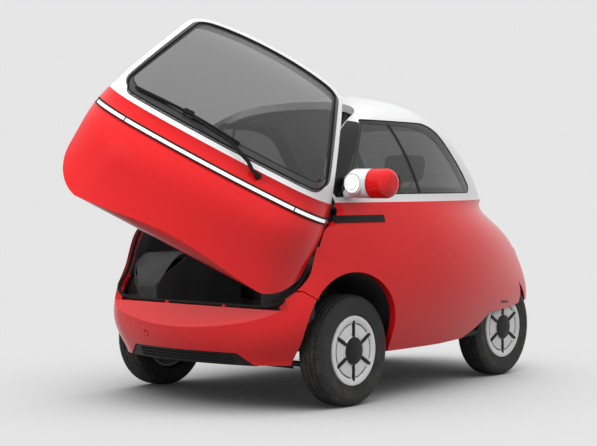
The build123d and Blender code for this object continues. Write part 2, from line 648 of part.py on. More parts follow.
def build_floor():
    """Cabin floor with a front bulkhead, a step up to the boot floor and four wheelhouses."""
    inner = lower_solid(WALL + 1)
    front, step = LEDGE[0][0] - 20, BOOT_STEP_X
    low, high = CABIN_FLOOR[0], BOOT_FLOOR[1]
    floor = inner & (
        box((step, front), (-800, 800), CABIN_FLOOR)
        + box((front - WHEELHOUSE_WALL, front), (-800, 800), (low, LEDGE[0][1] - LEDGE_THICK - 4))
        + box((step, step + WHEELHOUSE_WALL), (-800, 800), (low, high))
        + box((TAIL_FLOOR_X, step + WHEELHOUSE_WALL), (-800, 800), BOOT_FLOOR))
    for x, z, radius in ((ARCH_X, ARCH_Z - 30, WHEELHOUSE_RADIUS),
                         (-AXLE_X, TYRE_RADIUS + 6, REAR_WELL_RADIUS)):
        for side in (1, -1):
            grown = wheel_well(side, x, z, radius, WHEELHOUSE_WALL)
            house = (grown - wheel_well(side, x, z, radius, 0)) & inner
            floor = (floor - grown) + (house & box((TAIL_FLOOR_X, front), (-800, 800), (low, 900)))
    for side in (1, -1):
        floor -= trailing_arm(side, AXLE_ROOM)
        low, high = sorted((side * JACK_PAD_Y[0], side * JACK_PAD_Y[1]))
        floor += box(JACK_PAD_X, (low, high), (JACK_PAD_Z, CABIN_FLOOR[0] + 1))
    reach = WHEELHOUSE_INNER_Y + 1
    return floor - y_cylinder(AXLE_TUBE_RADIUS + AXLE_ROOM, -AXLE_X, TYRE_RADIUS, -reach, reach)


def seat_back_place():
    """Where the foot of the seat back's front face stands, leaning back."""
    return Pos(SEAT_X[0] + BACK_FOOT[0], 0, SEAT_Z[1] + BACK_FOOT[1]) * Rot(0, -BACK_LEAN, 0)


def build_seat_back():
    back = box((-BACK_THICK, 0), (-SEAT_HALF, SEAT_HALF), (0, BACK_HEIGHT))
    back = fillet(back.edges(), SEAT_EDGE)
    return seat_back_place() * back


def build_headrests():
    one = fillet(Box(*HEADREST_SIZE).edges(), SEAT_EDGE)
    lift = BACK_HEIGHT + HEADREST_SIZE[2] / 2 + 34
    post = Pos(0, 0, -HEADREST_SIZE[2] / 2 - 14) * Cylinder(8, 2 * (20 - SEAT_GAP))
    place = seat_back_place()
    both = []
    for side in (1, -1):
        at = place * Pos(-BACK_THICK / 2, side * HEADREST_Y, lift)
        both.append(at * (one + post))
    return Compound(both)


def build_steering_wheel():
    axis = Vector(*COLUMN_TOP) - Vector(*COLUMN_FOOT)
    plane = Plane(origin=Vector(*COLUMN_TOP), z_dir=axis)
    ring = plane * Torus(STEERING_WHEEL_RADIUS - STEERING_RIM_RADIUS, STEERING_RIM_RADIUS)
    hub = plane * Cylinder(38, 30)
    spoke = Box(2 * (STEERING_WHEEL_RADIUS - STEERING_RIM_RADIUS), 30, 12)
    return ring + hub + plane * spoke


def build_column():
    top, foot = Vector(*COLUMN_TOP), Vector(*COLUMN_FOOT)
    end = top + (foot - top).normalized() * (15 + SEAT_GAP)
    half = COLUMN_PLINTH / 2
    plinth = box((foot.X - half, foot.X + half), (foot.Y - half, foot.Y + half),
                 (CABIN_FLOOR[1] + SEAT_GAP, foot.Z + 20))
    return rod(tuple(foot), tuple(end), COLUMN_RADIUS) + plinth


def front_x(sections, z, y):
    """x of the body's front at a height and half width, between two sections."""
    for lower, upper in zip(sections, sections[1:]):
        if lower[0] <= z <= upper[0]:
            share = (z - lower[0]) / (upper[0] - lower[0])
            front, radius = [
                (1 - share) * section(lower)[key] + share * section(upper)[key]
                for key in ("front", "r_front")]
            return front - radius + math.sqrt(radius * radius - y * y)
    raise ValueError("height outside the sections")


def pod_body(side):
    """The whole rounded pod beside the windscreen pillar."""
    inner_y, outer_y = POD_Y
    x, z = POD_CENTRE
    middle = side * (inner_y + outer_y) / 2
    body = Pos(x, middle, z) * Rot(90, 0, 0) * Cylinder(POD_RADIUS, outer_y - inner_y)
    return fillet(body.edges(), POD_ROUNDING)


def pod_slab(side, inner_y, outer_y):
    return box((0, 1400), sorted((side * inner_y, side * outer_y)), (800, 1400))


def build_pod(side):
    """Headlamp housing at the foot of the windscreen pillar."""
    x, z = POD_CENTRE
    inner_y = POD_Y[0]
    foot = rod((x + 8, side * (inner_y - 20), z - 52), (x, side * (inner_y + 60), z - 34),
               POD_FOOT_RADIUS)
    pocket = Pos(x + POD_RADIUS + 4, side * LAMP_Y, z) * Rot(0, 90, 0) * Cylinder(
        LAMP_RADIUS + SEAT_GAP, 2 * LAMP_DEPTH)
    housing = (pod_body(side) + foot) & pod_slab(side, 0, POD_SPLIT_Y)
    return housing - pocket - upper_solid(-SEAT_GAP)


def build_mirror_cap(side):
    """Outer half of the pod, which carries the mirror on its rear face."""
    return pod_body(side) & pod_slab(side, POD_SPLIT_Y + SEAT_GAP, 1000)


def build_lamp(side):
    x, z = POD_CENTRE
    lens = Pos(x + POD_RADIUS + LAMP_STAND - LAMP_DEPTH / 2, side * LAMP_Y, z) * Rot(
        0, 90, 0) * Cylinder(LAMP_RADIUS, LAMP_DEPTH)
    return fillet(lens.faces().sort_by(Axis.X)[-1].edges(), 12)


def build_wiper():
    """Arm and blade lying along the foot of the windscreen, on a pivot under it."""
    def over(y, z, stand):
        sections = LOWER_SECTIONS if z <= BELT_Z else UPPER_SECTIONS
        return (front_x(sections, z, y) + stand, y, z)

    pivot_y, pivot_z = WIPER_PIVOT
    pivot = over(pivot_y, pivot_z, WIPER_STAND)
    elbow = over(*WIPER_ELBOW, WIPER_STAND + 4)
    grip = over((WIPER_BLADE_Y[0] + WIPER_BLADE_Y[1]) / 2, WIPER_BLADE_Z, WIPER_STAND + 2)
    shape = rod((pivot[0] - WIPER_STAND - 10, pivot_y, pivot_z),
                (pivot[0] + 6, pivot_y, pivot_z), 11)
    shape += rod(pivot, elbow, 6) + rod(elbow, grip, 5) + Pos(*elbow) * Sphere(6)
    steps = 5
    ys = [WIPER_BLADE_Y[0] + (WIPER_BLADE_Y[1] - WIPER_BLADE_Y[0]) * k / steps
          for k in range(steps + 1)]
    knots = [over(y, WIPER_BLADE_Z, WIPER_STAND) for y in ys]
    for a, b in zip(knots, knots[1:]):
        shape += rod(a, b, WIPER_BLADE_RADIUS) + Pos(*b) * Sphere(WIPER_BLADE_RADIUS)
    return shape - lower_solid(-SEAT_GAP)


def placed_on_door(shape):
    """Swing a piece of the front door from shut to its open rest pose."""
    axis = Axis(HINGE_POINT, HINGE_AXIS)
    return shape.rotate(axis, DOOR_OPEN)


def hinge_plane(along):
    """Plane square to the door hinge's axis: x to the left, y inwards and down."""
    d = Vector(*HINGE_AXIS).normalized()
    left = (Vector(0, 1, 0) - d * d.Y).normalized()
    return Plane(origin=Vector(*HINGE_POINT) + d * along, x_dir=left, z_dir=d)


def hinge_rod(start, stop, radius):
    """A bar on the door hinge's axis, between two distances from the hinge point."""
    return extrude(hinge_plane(start) * Circle(radius), stop - start)


def both_ears(face, spare):
    """A face extruded over the span of each of the hinge's two ears."""
    near, far = HINGE_EAR_AT
    return (extrude(hinge_plane(near - spare) * face, far - near + 2 * spare)
            + extrude(hinge_plane(-far - spare) * face, far - near + 2 * spare))


def strap_face(width):
    """The strap's outline: a band of even width along HINGE_STRAP."""
    face = Pos(*HINGE_STRAP[0]) * Circle(width / 2)
    for a, b in zip(HINGE_STRAP, HINGE_STRAP[1:]):
        turn = math.degrees(math.atan2(b[1] - a[1], b[0] - a[0]))
        middle = Pos((a[0] + b[0]) / 2, (a[1] + b[1]) / 2) * Rot(0, 0, turn)
        face += middle * Rectangle(math.dist(a, b), width) + Pos(*b) * Circle(width / 2)
    return face


def ear_slots():
    """The room that the hinge's two ears sweep through in the door."""
    room = HINGE_STRAP_WIDTH / 2 + HINGE_EAR_ROOM
    slot = Circle(HINGE_EAR_RADIUS + HINGE_EAR_ROOM)
    for turn in range(0, int(DOOR_OPEN) + 1, 8):
        slot += Rot(0, 0, -turn) * strap_face(2 * room)
    return both_ears(slot, HINGE_EAR_ROOM)


def with_door_bore(panel):
    """The door panel with the hinge bore, and slots that the ears swing in."""
    reach = HINGE_EAR_AT[1]
    return panel - ear_slots() - hinge_rod(-reach, reach, HINGE_PIN_RADIUS + PIN_CLEARANCE)


def with_door_pin(body):
    """The left body side with the hinge's two ears and the pin between them."""
    reach = HINGE_EAR_AT[1]
    ear = Circle(HINGE_EAR_RADIUS) + strap_face(HINGE_STRAP_WIDTH)
    ears = (both_ears(ear, 0) + hinge_rod(-reach, reach, HINGE_PIN_RADIUS)) & lower_outer
    return body + ears


def pillar_relief():
    """Turned relief that lets the frame's left edge swing past the pillar."""
    start, stop = PILLAR_RELIEF[0][0], PILLAR_RELIEF[-1][0]
    points = [(0, start)] + [(r, along) for along, r in PILLAR_RELIEF[1:]] + [(0, stop)]
    square = hinge_plane(0)
    across = Plane(origin=square.origin, x_dir=square.y_dir, z_dir=-square.x_dir)
    if across.y_dir.dot(square.z_dir) < 0:
        points = [(x, -y) for x, y in points]
    face = make_face(Polyline(*points, points[0]))
    return revolve(across * face, Axis(square.origin, square.z_dir), 360)


def body_relief():
    """The room that the door's thick edge needs in the body beside the hinge."""
    reach, radius = BODY_RELIEF
    return hinge_rod(-reach, reach, radius)


def build_light_bar():
    """The bar's black surround on the door, and the white strip in three lengths on it."""
    slots = ear_slots()
    surround = (lower_solid(-LIGHT_BAR_STAND) - lower_solid(-SEAT_GAP)) & door_region(
        -LIGHT_BAR_END) & box((0, 1400), (-900, 900), LIGHT_BAR_Z)
    stand = LIGHT_BAR_STAND + SEAT_GAP
    strip = (lower_solid(-LIGHT_BAR_STAND - LIGHT_STRIP_STAND) - lower_solid(-stand)
             ) & door_region(-LIGHT_STRIP_END) & box((0, 1400), (-900, 900), LIGHT_STRIP_Z)
    y, width = LIGHT_STRIP_BREAK
    for side in (1, -1):
        strip -= box((0, 1400), (side * y - width / 2, side * y + width / 2), (800, 1000))
    return surround - slots, strip - slots


def hatch_rod(side, y_low, y_high, radius):
    """A bar on the hatch hinge's axis, on one side."""
    return y_cylinder(radius, *HATCH_HINGE, *sorted((side * y_low, side * y_high)))


def hatch_leaf(side, y_low, y_high, forward):
    """The leaf that joins a stretch of the hinge to the skin ahead of it or behind it."""
    reach, thick = HATCH_LEAF
    leaf = Box(reach, y_high - y_low, thick)
    leaf = Rot(0, -HATCH_LEAF_SLOPE, 0) * Pos(forward * reach / 2, 0, -HATCH_LEAF_DROP) * leaf
    return Pos(HATCH_HINGE[0], side * (y_low + y_high) / 2, HATCH_HINGE[1]) * leaf


def hatch_ear_spans():
    """The stretches of the hatch's axis that belong to the roof."""
    low, high = HATCH_HINGE_Y
    return ((low - HATCH_EAR_GAP - HATCH_EAR, low - HATCH_EAR_GAP),
            (high + HATCH_EAR_GAP, high + HATCH_EAR_GAP + HATCH_EAR))


def build_hatch_frame(region):
    """White upper part of the hatch, with two hinge barrels on its top edge."""
    frame = (upper_shell & region) - rear_window_region(0)
    low, high = HATCH_HINGE_Y
    room = HATCH_HINGE_RADIUS + HATCH_HINGE_ROOM
    for side in (1, -1):
        for start, stop in hatch_ear_spans():
            frame -= hatch_rod(side, start - HATCH_EAR_GAP, stop + HATCH_EAR_GAP, room)
        frame += hatch_rod(side, low, high, HATCH_HINGE_RADIUS) + hatch_leaf(side, low, high, -1)
        frame -= hatch_rod(side, low, high, HATCH_PIN_RADIUS + PIN_CLEARANCE)
    return frame


def with_hatch_pins(roof):
    """The roof with the hatch's two pins and the ears that hold them."""
    low, high = HATCH_HINGE_Y
    room = HATCH_HINGE_RADIUS + HATCH_HINGE_ROOM
    for side in (1, -1):
        roof -= hatch_rod(side, low - HATCH_EAR_GAP, high + HATCH_EAR_GAP, room)
        for start, stop in hatch_ear_spans():
            roof += hatch_rod(side, start, stop, HATCH_HINGE_RADIUS)
            roof += hatch_leaf(side, start, stop, 1)
        roof += hatch_rod(side, low - HATCH_EAR, high + HATCH_EAR, HATCH_PIN_RADIUS)
    return roof


panel, frame, glass = build_door()
panel = with_door_bore(panel)
frame -= pillar_relief()
light_bar, light_strip = build_light_bar()
for name, shape in (("door_panel", panel), ("door_window_frame", frame),
                    ("windscreen", glass), ("door_light_bar", light_bar),
                    ("door_light_strip", light_strip), ("wiper", build_wiper())):
    add(name, placed_on_door(shape))
add("roof", with_hatch_pins(build_roof() - body_relief()))
strips = []
for side, word in ((1, "left"), (-1, "right")):
    add(f"{word}_side_window",
        (glass_shell & window_prism(side, -SEAT_GAP)) - door_region(PANEL_GAP))
    body = build_side(side)
    add(f"{word}_body_side", with_door_pin(body - body_relief()) if side == 1 else body)
    add(f"{word}_lamp_pod", build_pod(side))
    add(f"{word}_mirror_cap", build_mirror_cap(side))
    add(f"{word}_headlamp", build_lamp(side))
    strips.append((lower_solid(-SIDE_STRIP_STAND) - lower_solid(-SEAT_GAP))
                  & box(SIDE_STRIP[0], tuple(sorted((side * 300, side * 900))), SIDE_STRIP[1]))
add("side_strips", Compound(strips))
add("front_bumper", build_front_bumper())
add("bumper_grille", build_grille())
add("tail_panel", build_tail())
hatch = hatch_region(0)
add("hatch_panel", lower_shell & hatch)
add("hatch_frame", build_hatch_frame(hatch))
add("rear_window", glass_shell & rear_window_region(-SEAT_GAP))
add("rear_light_bar", (lower_solid(-REAR_BAR_STAND) - lower_solid(-SEAT_GAP))
    & hatch_region(-6) & box((-1400, 0), (-900, 900), REAR_BAR_Z))
add("floor_pan", build_floor())
add("seat_cushion", fillet(box(SEAT_X, (-SEAT_HALF, SEAT_HALF), SEAT_Z).edges(), SEAT_EDGE))
add("seat_back", build_seat_back())
add("headrests", build_headrests())
add("battery_block", box(*BATTERY))
add("motor_block", box(*MOTOR))
add("steering_column", build_column())
add("steering_wheel", build_steering_wheel())
add("front_arms", build_front_arms())
add("rear_axle", build_rear_axle())
tyre, wheel = build_tyre(), build_wheel()
for side, word in ((1, "left"), (-1, "right")):
    add(f"front_{word}_knuckle", build_knuckle(side))
    for end, x, face in (("front", AXLE_X, FRONT_WHEEL_FACE), ("rear", -AXLE_X, REAR_WHEEL_FACE)):
        place = Pos(x, wheel_centre_y(face, side), TYRE_RADIUS) * Rot(0, 0, 0 if side == 1 else 180)
        add(f"{end}_{word}_tyre", place * tyre)
        add(f"{end}_{word}_wheel", place * wheel)

for name, shape in nodes.items():
    export_step(shape, f"parts/{name}.step")
    print(name, len(shape.solids()), round(shape.volume / 1e6, 3))
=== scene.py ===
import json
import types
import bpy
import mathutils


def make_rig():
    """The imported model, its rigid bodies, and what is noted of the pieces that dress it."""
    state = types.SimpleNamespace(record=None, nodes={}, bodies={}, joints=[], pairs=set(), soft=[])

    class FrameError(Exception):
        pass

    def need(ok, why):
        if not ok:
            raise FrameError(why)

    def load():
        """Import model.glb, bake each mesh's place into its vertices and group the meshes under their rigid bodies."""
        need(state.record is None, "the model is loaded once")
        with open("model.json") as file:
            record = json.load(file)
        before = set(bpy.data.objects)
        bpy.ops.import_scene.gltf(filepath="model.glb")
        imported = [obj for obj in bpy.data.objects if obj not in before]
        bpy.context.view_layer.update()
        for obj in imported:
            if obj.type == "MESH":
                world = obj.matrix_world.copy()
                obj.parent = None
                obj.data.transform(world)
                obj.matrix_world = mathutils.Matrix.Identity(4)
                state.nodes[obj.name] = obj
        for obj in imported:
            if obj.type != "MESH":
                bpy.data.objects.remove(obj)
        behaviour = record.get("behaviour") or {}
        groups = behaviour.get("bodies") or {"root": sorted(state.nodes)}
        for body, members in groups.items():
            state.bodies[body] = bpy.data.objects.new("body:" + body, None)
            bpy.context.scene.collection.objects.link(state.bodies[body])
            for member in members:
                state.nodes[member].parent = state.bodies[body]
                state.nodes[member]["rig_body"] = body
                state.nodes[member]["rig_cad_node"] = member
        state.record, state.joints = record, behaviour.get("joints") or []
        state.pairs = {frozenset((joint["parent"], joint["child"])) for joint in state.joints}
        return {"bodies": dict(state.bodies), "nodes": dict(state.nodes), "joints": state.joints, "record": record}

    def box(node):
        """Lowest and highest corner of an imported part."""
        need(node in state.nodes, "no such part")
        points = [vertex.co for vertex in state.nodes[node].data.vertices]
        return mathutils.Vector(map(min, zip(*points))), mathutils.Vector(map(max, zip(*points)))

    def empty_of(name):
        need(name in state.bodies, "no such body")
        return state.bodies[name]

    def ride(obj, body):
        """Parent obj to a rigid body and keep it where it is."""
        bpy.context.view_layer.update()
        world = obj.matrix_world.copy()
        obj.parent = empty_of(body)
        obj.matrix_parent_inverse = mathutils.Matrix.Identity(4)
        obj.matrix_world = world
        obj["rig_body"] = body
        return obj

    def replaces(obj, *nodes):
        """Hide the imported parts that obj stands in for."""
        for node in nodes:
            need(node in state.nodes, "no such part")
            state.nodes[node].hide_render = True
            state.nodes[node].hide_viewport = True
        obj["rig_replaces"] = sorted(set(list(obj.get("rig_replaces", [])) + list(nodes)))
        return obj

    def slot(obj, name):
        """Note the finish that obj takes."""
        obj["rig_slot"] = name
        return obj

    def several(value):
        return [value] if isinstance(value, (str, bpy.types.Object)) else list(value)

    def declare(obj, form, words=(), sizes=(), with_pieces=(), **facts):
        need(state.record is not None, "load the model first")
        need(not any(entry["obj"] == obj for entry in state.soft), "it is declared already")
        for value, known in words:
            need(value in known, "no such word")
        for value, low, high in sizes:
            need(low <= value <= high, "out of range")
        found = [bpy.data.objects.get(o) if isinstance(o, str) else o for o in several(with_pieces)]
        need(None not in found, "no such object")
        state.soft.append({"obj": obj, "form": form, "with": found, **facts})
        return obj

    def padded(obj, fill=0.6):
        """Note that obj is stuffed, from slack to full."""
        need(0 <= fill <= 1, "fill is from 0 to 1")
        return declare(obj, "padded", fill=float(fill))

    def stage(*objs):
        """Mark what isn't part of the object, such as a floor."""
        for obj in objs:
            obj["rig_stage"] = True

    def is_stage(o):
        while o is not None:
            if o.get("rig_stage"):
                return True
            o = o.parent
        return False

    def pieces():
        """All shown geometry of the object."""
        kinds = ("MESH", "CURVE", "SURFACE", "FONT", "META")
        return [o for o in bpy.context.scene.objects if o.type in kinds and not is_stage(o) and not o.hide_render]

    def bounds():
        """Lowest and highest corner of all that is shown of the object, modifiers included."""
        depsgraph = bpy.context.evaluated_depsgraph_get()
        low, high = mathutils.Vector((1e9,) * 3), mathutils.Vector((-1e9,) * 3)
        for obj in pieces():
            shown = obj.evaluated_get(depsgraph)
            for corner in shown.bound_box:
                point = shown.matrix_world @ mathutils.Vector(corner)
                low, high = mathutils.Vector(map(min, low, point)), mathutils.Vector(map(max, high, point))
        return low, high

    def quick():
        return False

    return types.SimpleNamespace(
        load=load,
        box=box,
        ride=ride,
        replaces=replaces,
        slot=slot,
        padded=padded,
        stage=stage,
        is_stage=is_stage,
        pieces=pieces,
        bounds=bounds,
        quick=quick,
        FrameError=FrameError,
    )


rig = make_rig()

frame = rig.load()
import json
import math

import bmesh
import bpy
from mathutils import Matrix, Vector
from mathutils.bvhtree import BVHTree

bl_info = {
    "name": "Bubble microcar",
    "version": (1, 0, 0),
    "blender": (4, 5, 0),
    "location": "View3D > Sidebar > Microcar",
    "description": "Finishes a two-seat microcar with one front door, and its studio",
    "category": "Object",
}

NODES = frame["nodes"]
CAD_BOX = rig.bounds()
SIDES = ((1, "left"), (-1, "right"))    # which way y runs, and the word in names
UP = Vector((0, 0, 1))
LEFT = Vector((0, 1, 0))
RIM_STEP = 0.008                # spacing of points along a window's rim
AXLE_X, AXLE_Z = 0.74, 0.265    # front axle; the rear one is at -AXLE_X
ARCH_X, ARCH_Z = 0.745, 0.343   # middle of a front wheelhouse
BELT_Z = 0.945                  # top of the side trim
FOAM_PRESSURE = 3.0             # in the cloth that swells the seats


# ---------------------------------------------------------------- frame places

def joint(name):
    """A joint of the frame by its name."""
    return next(j for j in frame["joints"] if j["name"] == name)


def door_turn():
    """Takes a point of the shut front door to where the door stands open."""
    hinge = joint("front_door_swing")
    pin = Vector(hinge["pos_m"])
    angle = -math.radians(hinge["range_deg"][0])
    turn = Matrix.Rotation(angle, 4, Vector(hinge["axis"]))
    return Matrix.Translation(pin) @ turn @ Matrix.Translation(-pin)


DOOR = door_turn()
STILL = Matrix.Identity(4)


class Skin:
    """Finds points on some CAD nodes, in the pose where turn hasn't moved them yet."""

    def __init__(self, names, turn=STILL, outward=None, least=0.25):
        """With outward, only the faces that look that way count."""
        points, faces = [], []
        back = turn.inverted()
        rotate = back.to_3x3()
        for name in names:
            mesh = NODES[name].data
            start = len(points)
            points += [back @ v.co for v in mesh.vertices]
            faces += [[start + i for i in p.vertices] for p in mesh.polygons
                      if outward is None
                      or (rotate @ p.normal).dot(Vector(outward).normalized()) > least]
        self.tree = BVHTree.FromPolygons(points, faces)

    def cast(self, start, direction):
        """Point and normal where a ray first meets the skin."""
        place, normal, _, _ = self.tree.ray_cast(Vector(start), Vector(direction), 6.0)
        if place is None:
            raise RuntimeError(f"nothing to stand on from {tuple(start)}")
        return place, normal

    def front(self, y, z):
        """The skin seen from the nose."""
        return self.cast((3, y, z), (-1, 0, 0))

    def rear(self, y, z):
        """The skin seen from the tail."""
        return self.cast((-3, y, z), (1, 0, 0))

    def side(self, x, z, side):
        """The skin seen from one side."""
        return self.cast((x, 3 * side, z), (0, -side, 0))

    def inside(self, x, z, side):
        """The skin of one side seen from the car's middle."""
        return self.cast((x, 0, z), (0, side, 0))

    def near(self, point):
        """Nearest point of the skin, and its normal."""
        place, normal, _, _ = self.tree.find_nearest(Vector(point))
        return place, normal


def found(cast, places):
    """(point, normal) pairs of those casts that meet the skin."""
    run = []
    for place in places:
        try:
            run.append(cast(*place))
        except RuntimeError:
            continue
    return run


def rim_loop(node, outward, turn=STILL):
    """The closed edge of a node's outer face, in order, as points."""
    mesh = bmesh.new()
    mesh.from_mesh(NODES[node].data)
    mesh.transform(turn.inverted())
    bmesh.ops.remove_doubles(mesh, verts=mesh.verts, dist=2e-5)
    bmesh.ops.recalc_face_normals(mesh, faces=mesh.faces)
    outward = Vector(outward).normalized()
    outer = {f for f in mesh.faces if f.normal.dot(outward) > 0.3}
    ends = {}
    for edge in mesh.edges:
        if sum(f in outer for f in edge.link_faces) == 1:
            a, b = edge.verts
            ends.setdefault(a, []).append(b)
            ends.setdefault(b, []).append(a)
    loops, seen = [], set()
    for start in ends:
        if start in seen:
            continue
        loop, here, before = [], start, None
        while here is not None and here not in seen:
            seen.add(here)
            loop.append(here.co.copy())
            following = [v for v in ends[here] if v is not before and v not in seen]
            before, here = here, (following[0] if following else None)
        loops.append(loop)
    mesh.free()
    return max(loops, key=lambda l: sum((a - b).length for a, b in zip(l, l[1:])))


def even(points, step):
    """The same closed line with points a nearly even step apart."""
    line = list(points) + [points[0]]
    lengths = [0.0]
    for a, b in zip(line, line[1:]):
        lengths.append(lengths[-1] + (b - a).length)
    count = max(3, round(lengths[-1] / step))
    wanted = [lengths[-1] * k / count for k in range(count)]
    result, k = [], 0
    for at in wanted:
        while k < len(line) - 2 and lengths[k + 1] < at:
            k += 1
        span = lengths[k + 1] - lengths[k]
        share = (at - lengths[k]) / span if span > 1e-9 else 0.0
        result.append(line[k].lerp(line[k + 1], min(max(share, 0.0), 1.0)))
    return result


def directions(points, closed):
    """Which way a line runs at each of its points."""
    count, result = len(points), []
    for k in range(count):
        a = points[k - 1] if closed or k else points[k]
        b = points[(k + 1) % count] if closed or k < count - 1 else points[k]
        result.append((b - a).normalized())
    return result


def loop_frames(points, normals, closed=True):
    """For each point of a line: along, and across to its left, seen from outside."""
    return [(along, normal.cross(along).normalized())
            for along, normal in zip(directions(points, closed), normals)]


def shrunk(skin, points, widths, steps):
    """Moves a closed line inwards over a skin, by its own width at each point."""
    middle = sum(points, Vector()) / len(points)
    line = [p.copy() for p in points]
    for _ in range(steps):
        normals = [skin.near(p)[1] for p in line]
        frames = loop_frames(line, normals)
        moved = []
        for p, (_, across), width in zip(line, frames, widths):
            inward = across if across.dot(middle - p) > 0 else -across
            moved.append(p + inward * (width / steps))
        count = len(moved)
        line = [skin.near(moved[k] * 0.6 + (moved[k - 1] + moved[(k + 1) % count]) * 0.2)[0]
                for k in range(count)]
    return line


# ---------------------------------------------------------------- mesh making

def piece(name, points, faces, material, body, slot, turn=STILL, smooth=40, bevel=0.0,
          subdivide=0, segments=2):
    """Makes a mesh object that rides on a body and takes one finish."""
    mesh = bpy.data.meshes.new(name)
    mesh.from_pydata([tuple(p) for p in points], [], [tuple(f) for f in faces])
    mesh.transform(turn)
    clean = bmesh.new()
    clean.from_mesh(mesh)
    bmesh.ops.remove_doubles(clean, verts=clean.verts, dist=1e-6)
    bmesh.ops.recalc_face_normals(clean, faces=clean.faces)
    clean.to_mesh(mesh)
    clean.free()
    thing = bpy.data.objects.new(name, mesh)
    bpy.context.scene.collection.objects.link(thing)
    mesh.materials.append(material)
    mesh.shade_smooth()
    mesh.set_sharp_from_angle(angle=math.radians(smooth))
    if bevel:
        edge = thing.modifiers.new("edges", "BEVEL")
        edge.width, edge.segments, edge.limit_method = bevel, segments, "ANGLE"
        edge.angle_limit = math.radians(35)
        edge.harden_normals = True
    if subdivide:
        finer = thing.modifiers.new("finer", "SUBSURF")
        finer.levels = finer.render_levels = subdivide
    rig.ride(thing, body)
    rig.slot(thing, slot)
    return thing


class Build:
    """Collects several closed shapes into one mesh."""

    def __init__(self):
        self.points, self.faces = [], []

    def add(self, points, faces, place=STILL):
        """Takes up one shape, moved to a place."""
        start = len(self.points)
        self.points += [place @ Vector(p) for p in points]
        self.faces += [[start + i for i in f] for f in faces]
        return self

    def lathe(self, profile, steps, place, closed=False):
        """Turns a line of (radius, height) about z, closed at the ends that meet the axis."""
        points, faces, rings = [], [], []
        for radius, height in profile:
            if radius < 1e-7:
                rings.append([len(points)])
                points.append((0, 0, height))
            else:
                rings.append(list(range(len(points), len(points) + steps)))
                points += [polar(radius, math.tau * k / steps, height) for k in range(steps)]
        pairs = list(zip(rings, rings[1:])) + ([(rings[-1], rings[0])] if closed else [])
        for low, high in pairs:
            for k in range(steps):
                j = (k + 1) % steps
                if len(low) == 1:
                    faces.append((low[0], high[j], high[k]))
                elif len(high) == 1:
                    faces.append((low[k], low[j], high[0]))
                else:
                    faces.append((low[k], low[j], high[j], high[k]))
        return self.add(points, faces, place)

    def sweep(self, line, normals, section, closed=False, scale=None):
        """Runs a closed section of (across, out) points along a line with normals."""
        frames = loop_frames(line, normals, closed)
        points, faces = [], []
        count = len(section)
        for k, (p, normal) in enumerate(zip(line, normals)):
            size = scale(k / max(1, len(line) - 1)) if scale else 1.0
            along, across = frames[k]
            out = along.cross(across)
            if out.dot(normal) < 0:
                out = -out
            points += [p + across * (a * size) + out * (b * size) for a, b in section]
        rows = len(line)
        for k in range(rows if closed else rows - 1):
            here, there = k * count, ((k + 1) % rows) * count
            for i in range(count):
                j = (i + 1) % count
                faces.append((here + i, here + j, there + j, there + i))
        if not closed:
            faces.append(tuple(range(count)))
            faces.append(tuple((rows - 1) * count + i for i in reversed(range(count))))
        return self.add(points, faces)

    def follow(self, run, section, **more):
        """Runs a section along (point, normal) pairs, as a skin gives them."""
        points, normals = zip(*run)
        return self.sweep(points, normals, section, **more)

    def tube(self, line, radius, steps, closed=False, scale=None):
        """A round bar along a line."""
        section = round_section(radius, steps)
        helper = Vector((0.31, 0.17, 0.93))
        normals = [(helper - along * helper.dot(along)).normalized()
                   for along in directions(line, closed)]
        return self.sweep(line, normals, section, closed, scale)

    def block(self, low, high, place):
        """A box between two corners."""
        (x0, y0, z0), (x1, y1, z1) = low, high
        points = [(x, y, z) for x in (x0, x1) for y in (y0, y1) for z in (z0, z1)]
        faces = [(0, 1, 3, 2), (4, 6, 7, 5), (0, 4, 5, 1), (2, 3, 7, 6), (0, 2, 6, 4),
                 (1, 5, 7, 3)]
        return self.add(points, faces, place)

    def sheet(self, grid, normals, lift, sink, closed=False):
        """A thin closed body over rows of points: lift out of the skin, sink into it."""
        rows, columns = len(grid), len(grid[0])
        points = []
        for offset in (lift, -sink):
            for row, ns in zip(grid, normals):
                points += [p + n * offset for p, n in zip(row, ns)]
        at = lambda layer, r, c: layer * rows * columns + (r % rows) * columns + c
        faces = []
        last = rows if closed else rows - 1
        for r in range(last):
            for c in range(columns - 1):
                faces.append((at(0, r, c), at(0, r, c + 1), at(0, r + 1, c + 1), at(0, r + 1, c)))
                faces.append((at(1, r, c), at(1, r + 1, c), at(1, r + 1, c + 1), at(1, r, c + 1)))
            for c in (0, columns - 1):
                faces.append((at(0, r, c), at(1, r, c), at(1, r + 1, c), at(0, r + 1, c)))
        if not closed:
            for r in (0, rows - 1):
                for c in range(columns - 1):
                    faces.append((at(0, r, c), at(1, r, c), at(1, r, c + 1), at(0, r, c + 1)))
        return self.add(points, faces)

    def make(self, name, finish, body, slot=None, **more):
        """The mesh object; its slot follows from its finish unless it is given."""
        return piece(name, self.points, self.faces, made_of(finish), body,
                     slot or SLOT_OF.get(finish, finish), **more)


def polar(radius, angle, height=0.0):
    """A point by its distance from z, its angle round z and its height."""
    return Vector((radius * math.cos(angle), radius * math.sin(angle), height))


def round_section(radius, steps):
    """A circle as (across, out) points."""
    return [(radius * math.cos(math.tau * k / steps), radius * math.sin(math.tau * k / steps))
            for k in range(steps)]


def facing(origin, direction, spin=UP):
    """A place whose z runs along a direction and whose x is as near to spin as it can be."""
    z = Vector(direction).normalized()
    x = spin - z * spin.dot(z)
    x = x.normalized() if x.length > 1e-6 else z.orthogonal().normalized()
    y = z.cross(x)
    turn = Matrix((x, y, z)).transposed().to_4x4()
    return Matrix.Translation(Vector(origin)) @ turn


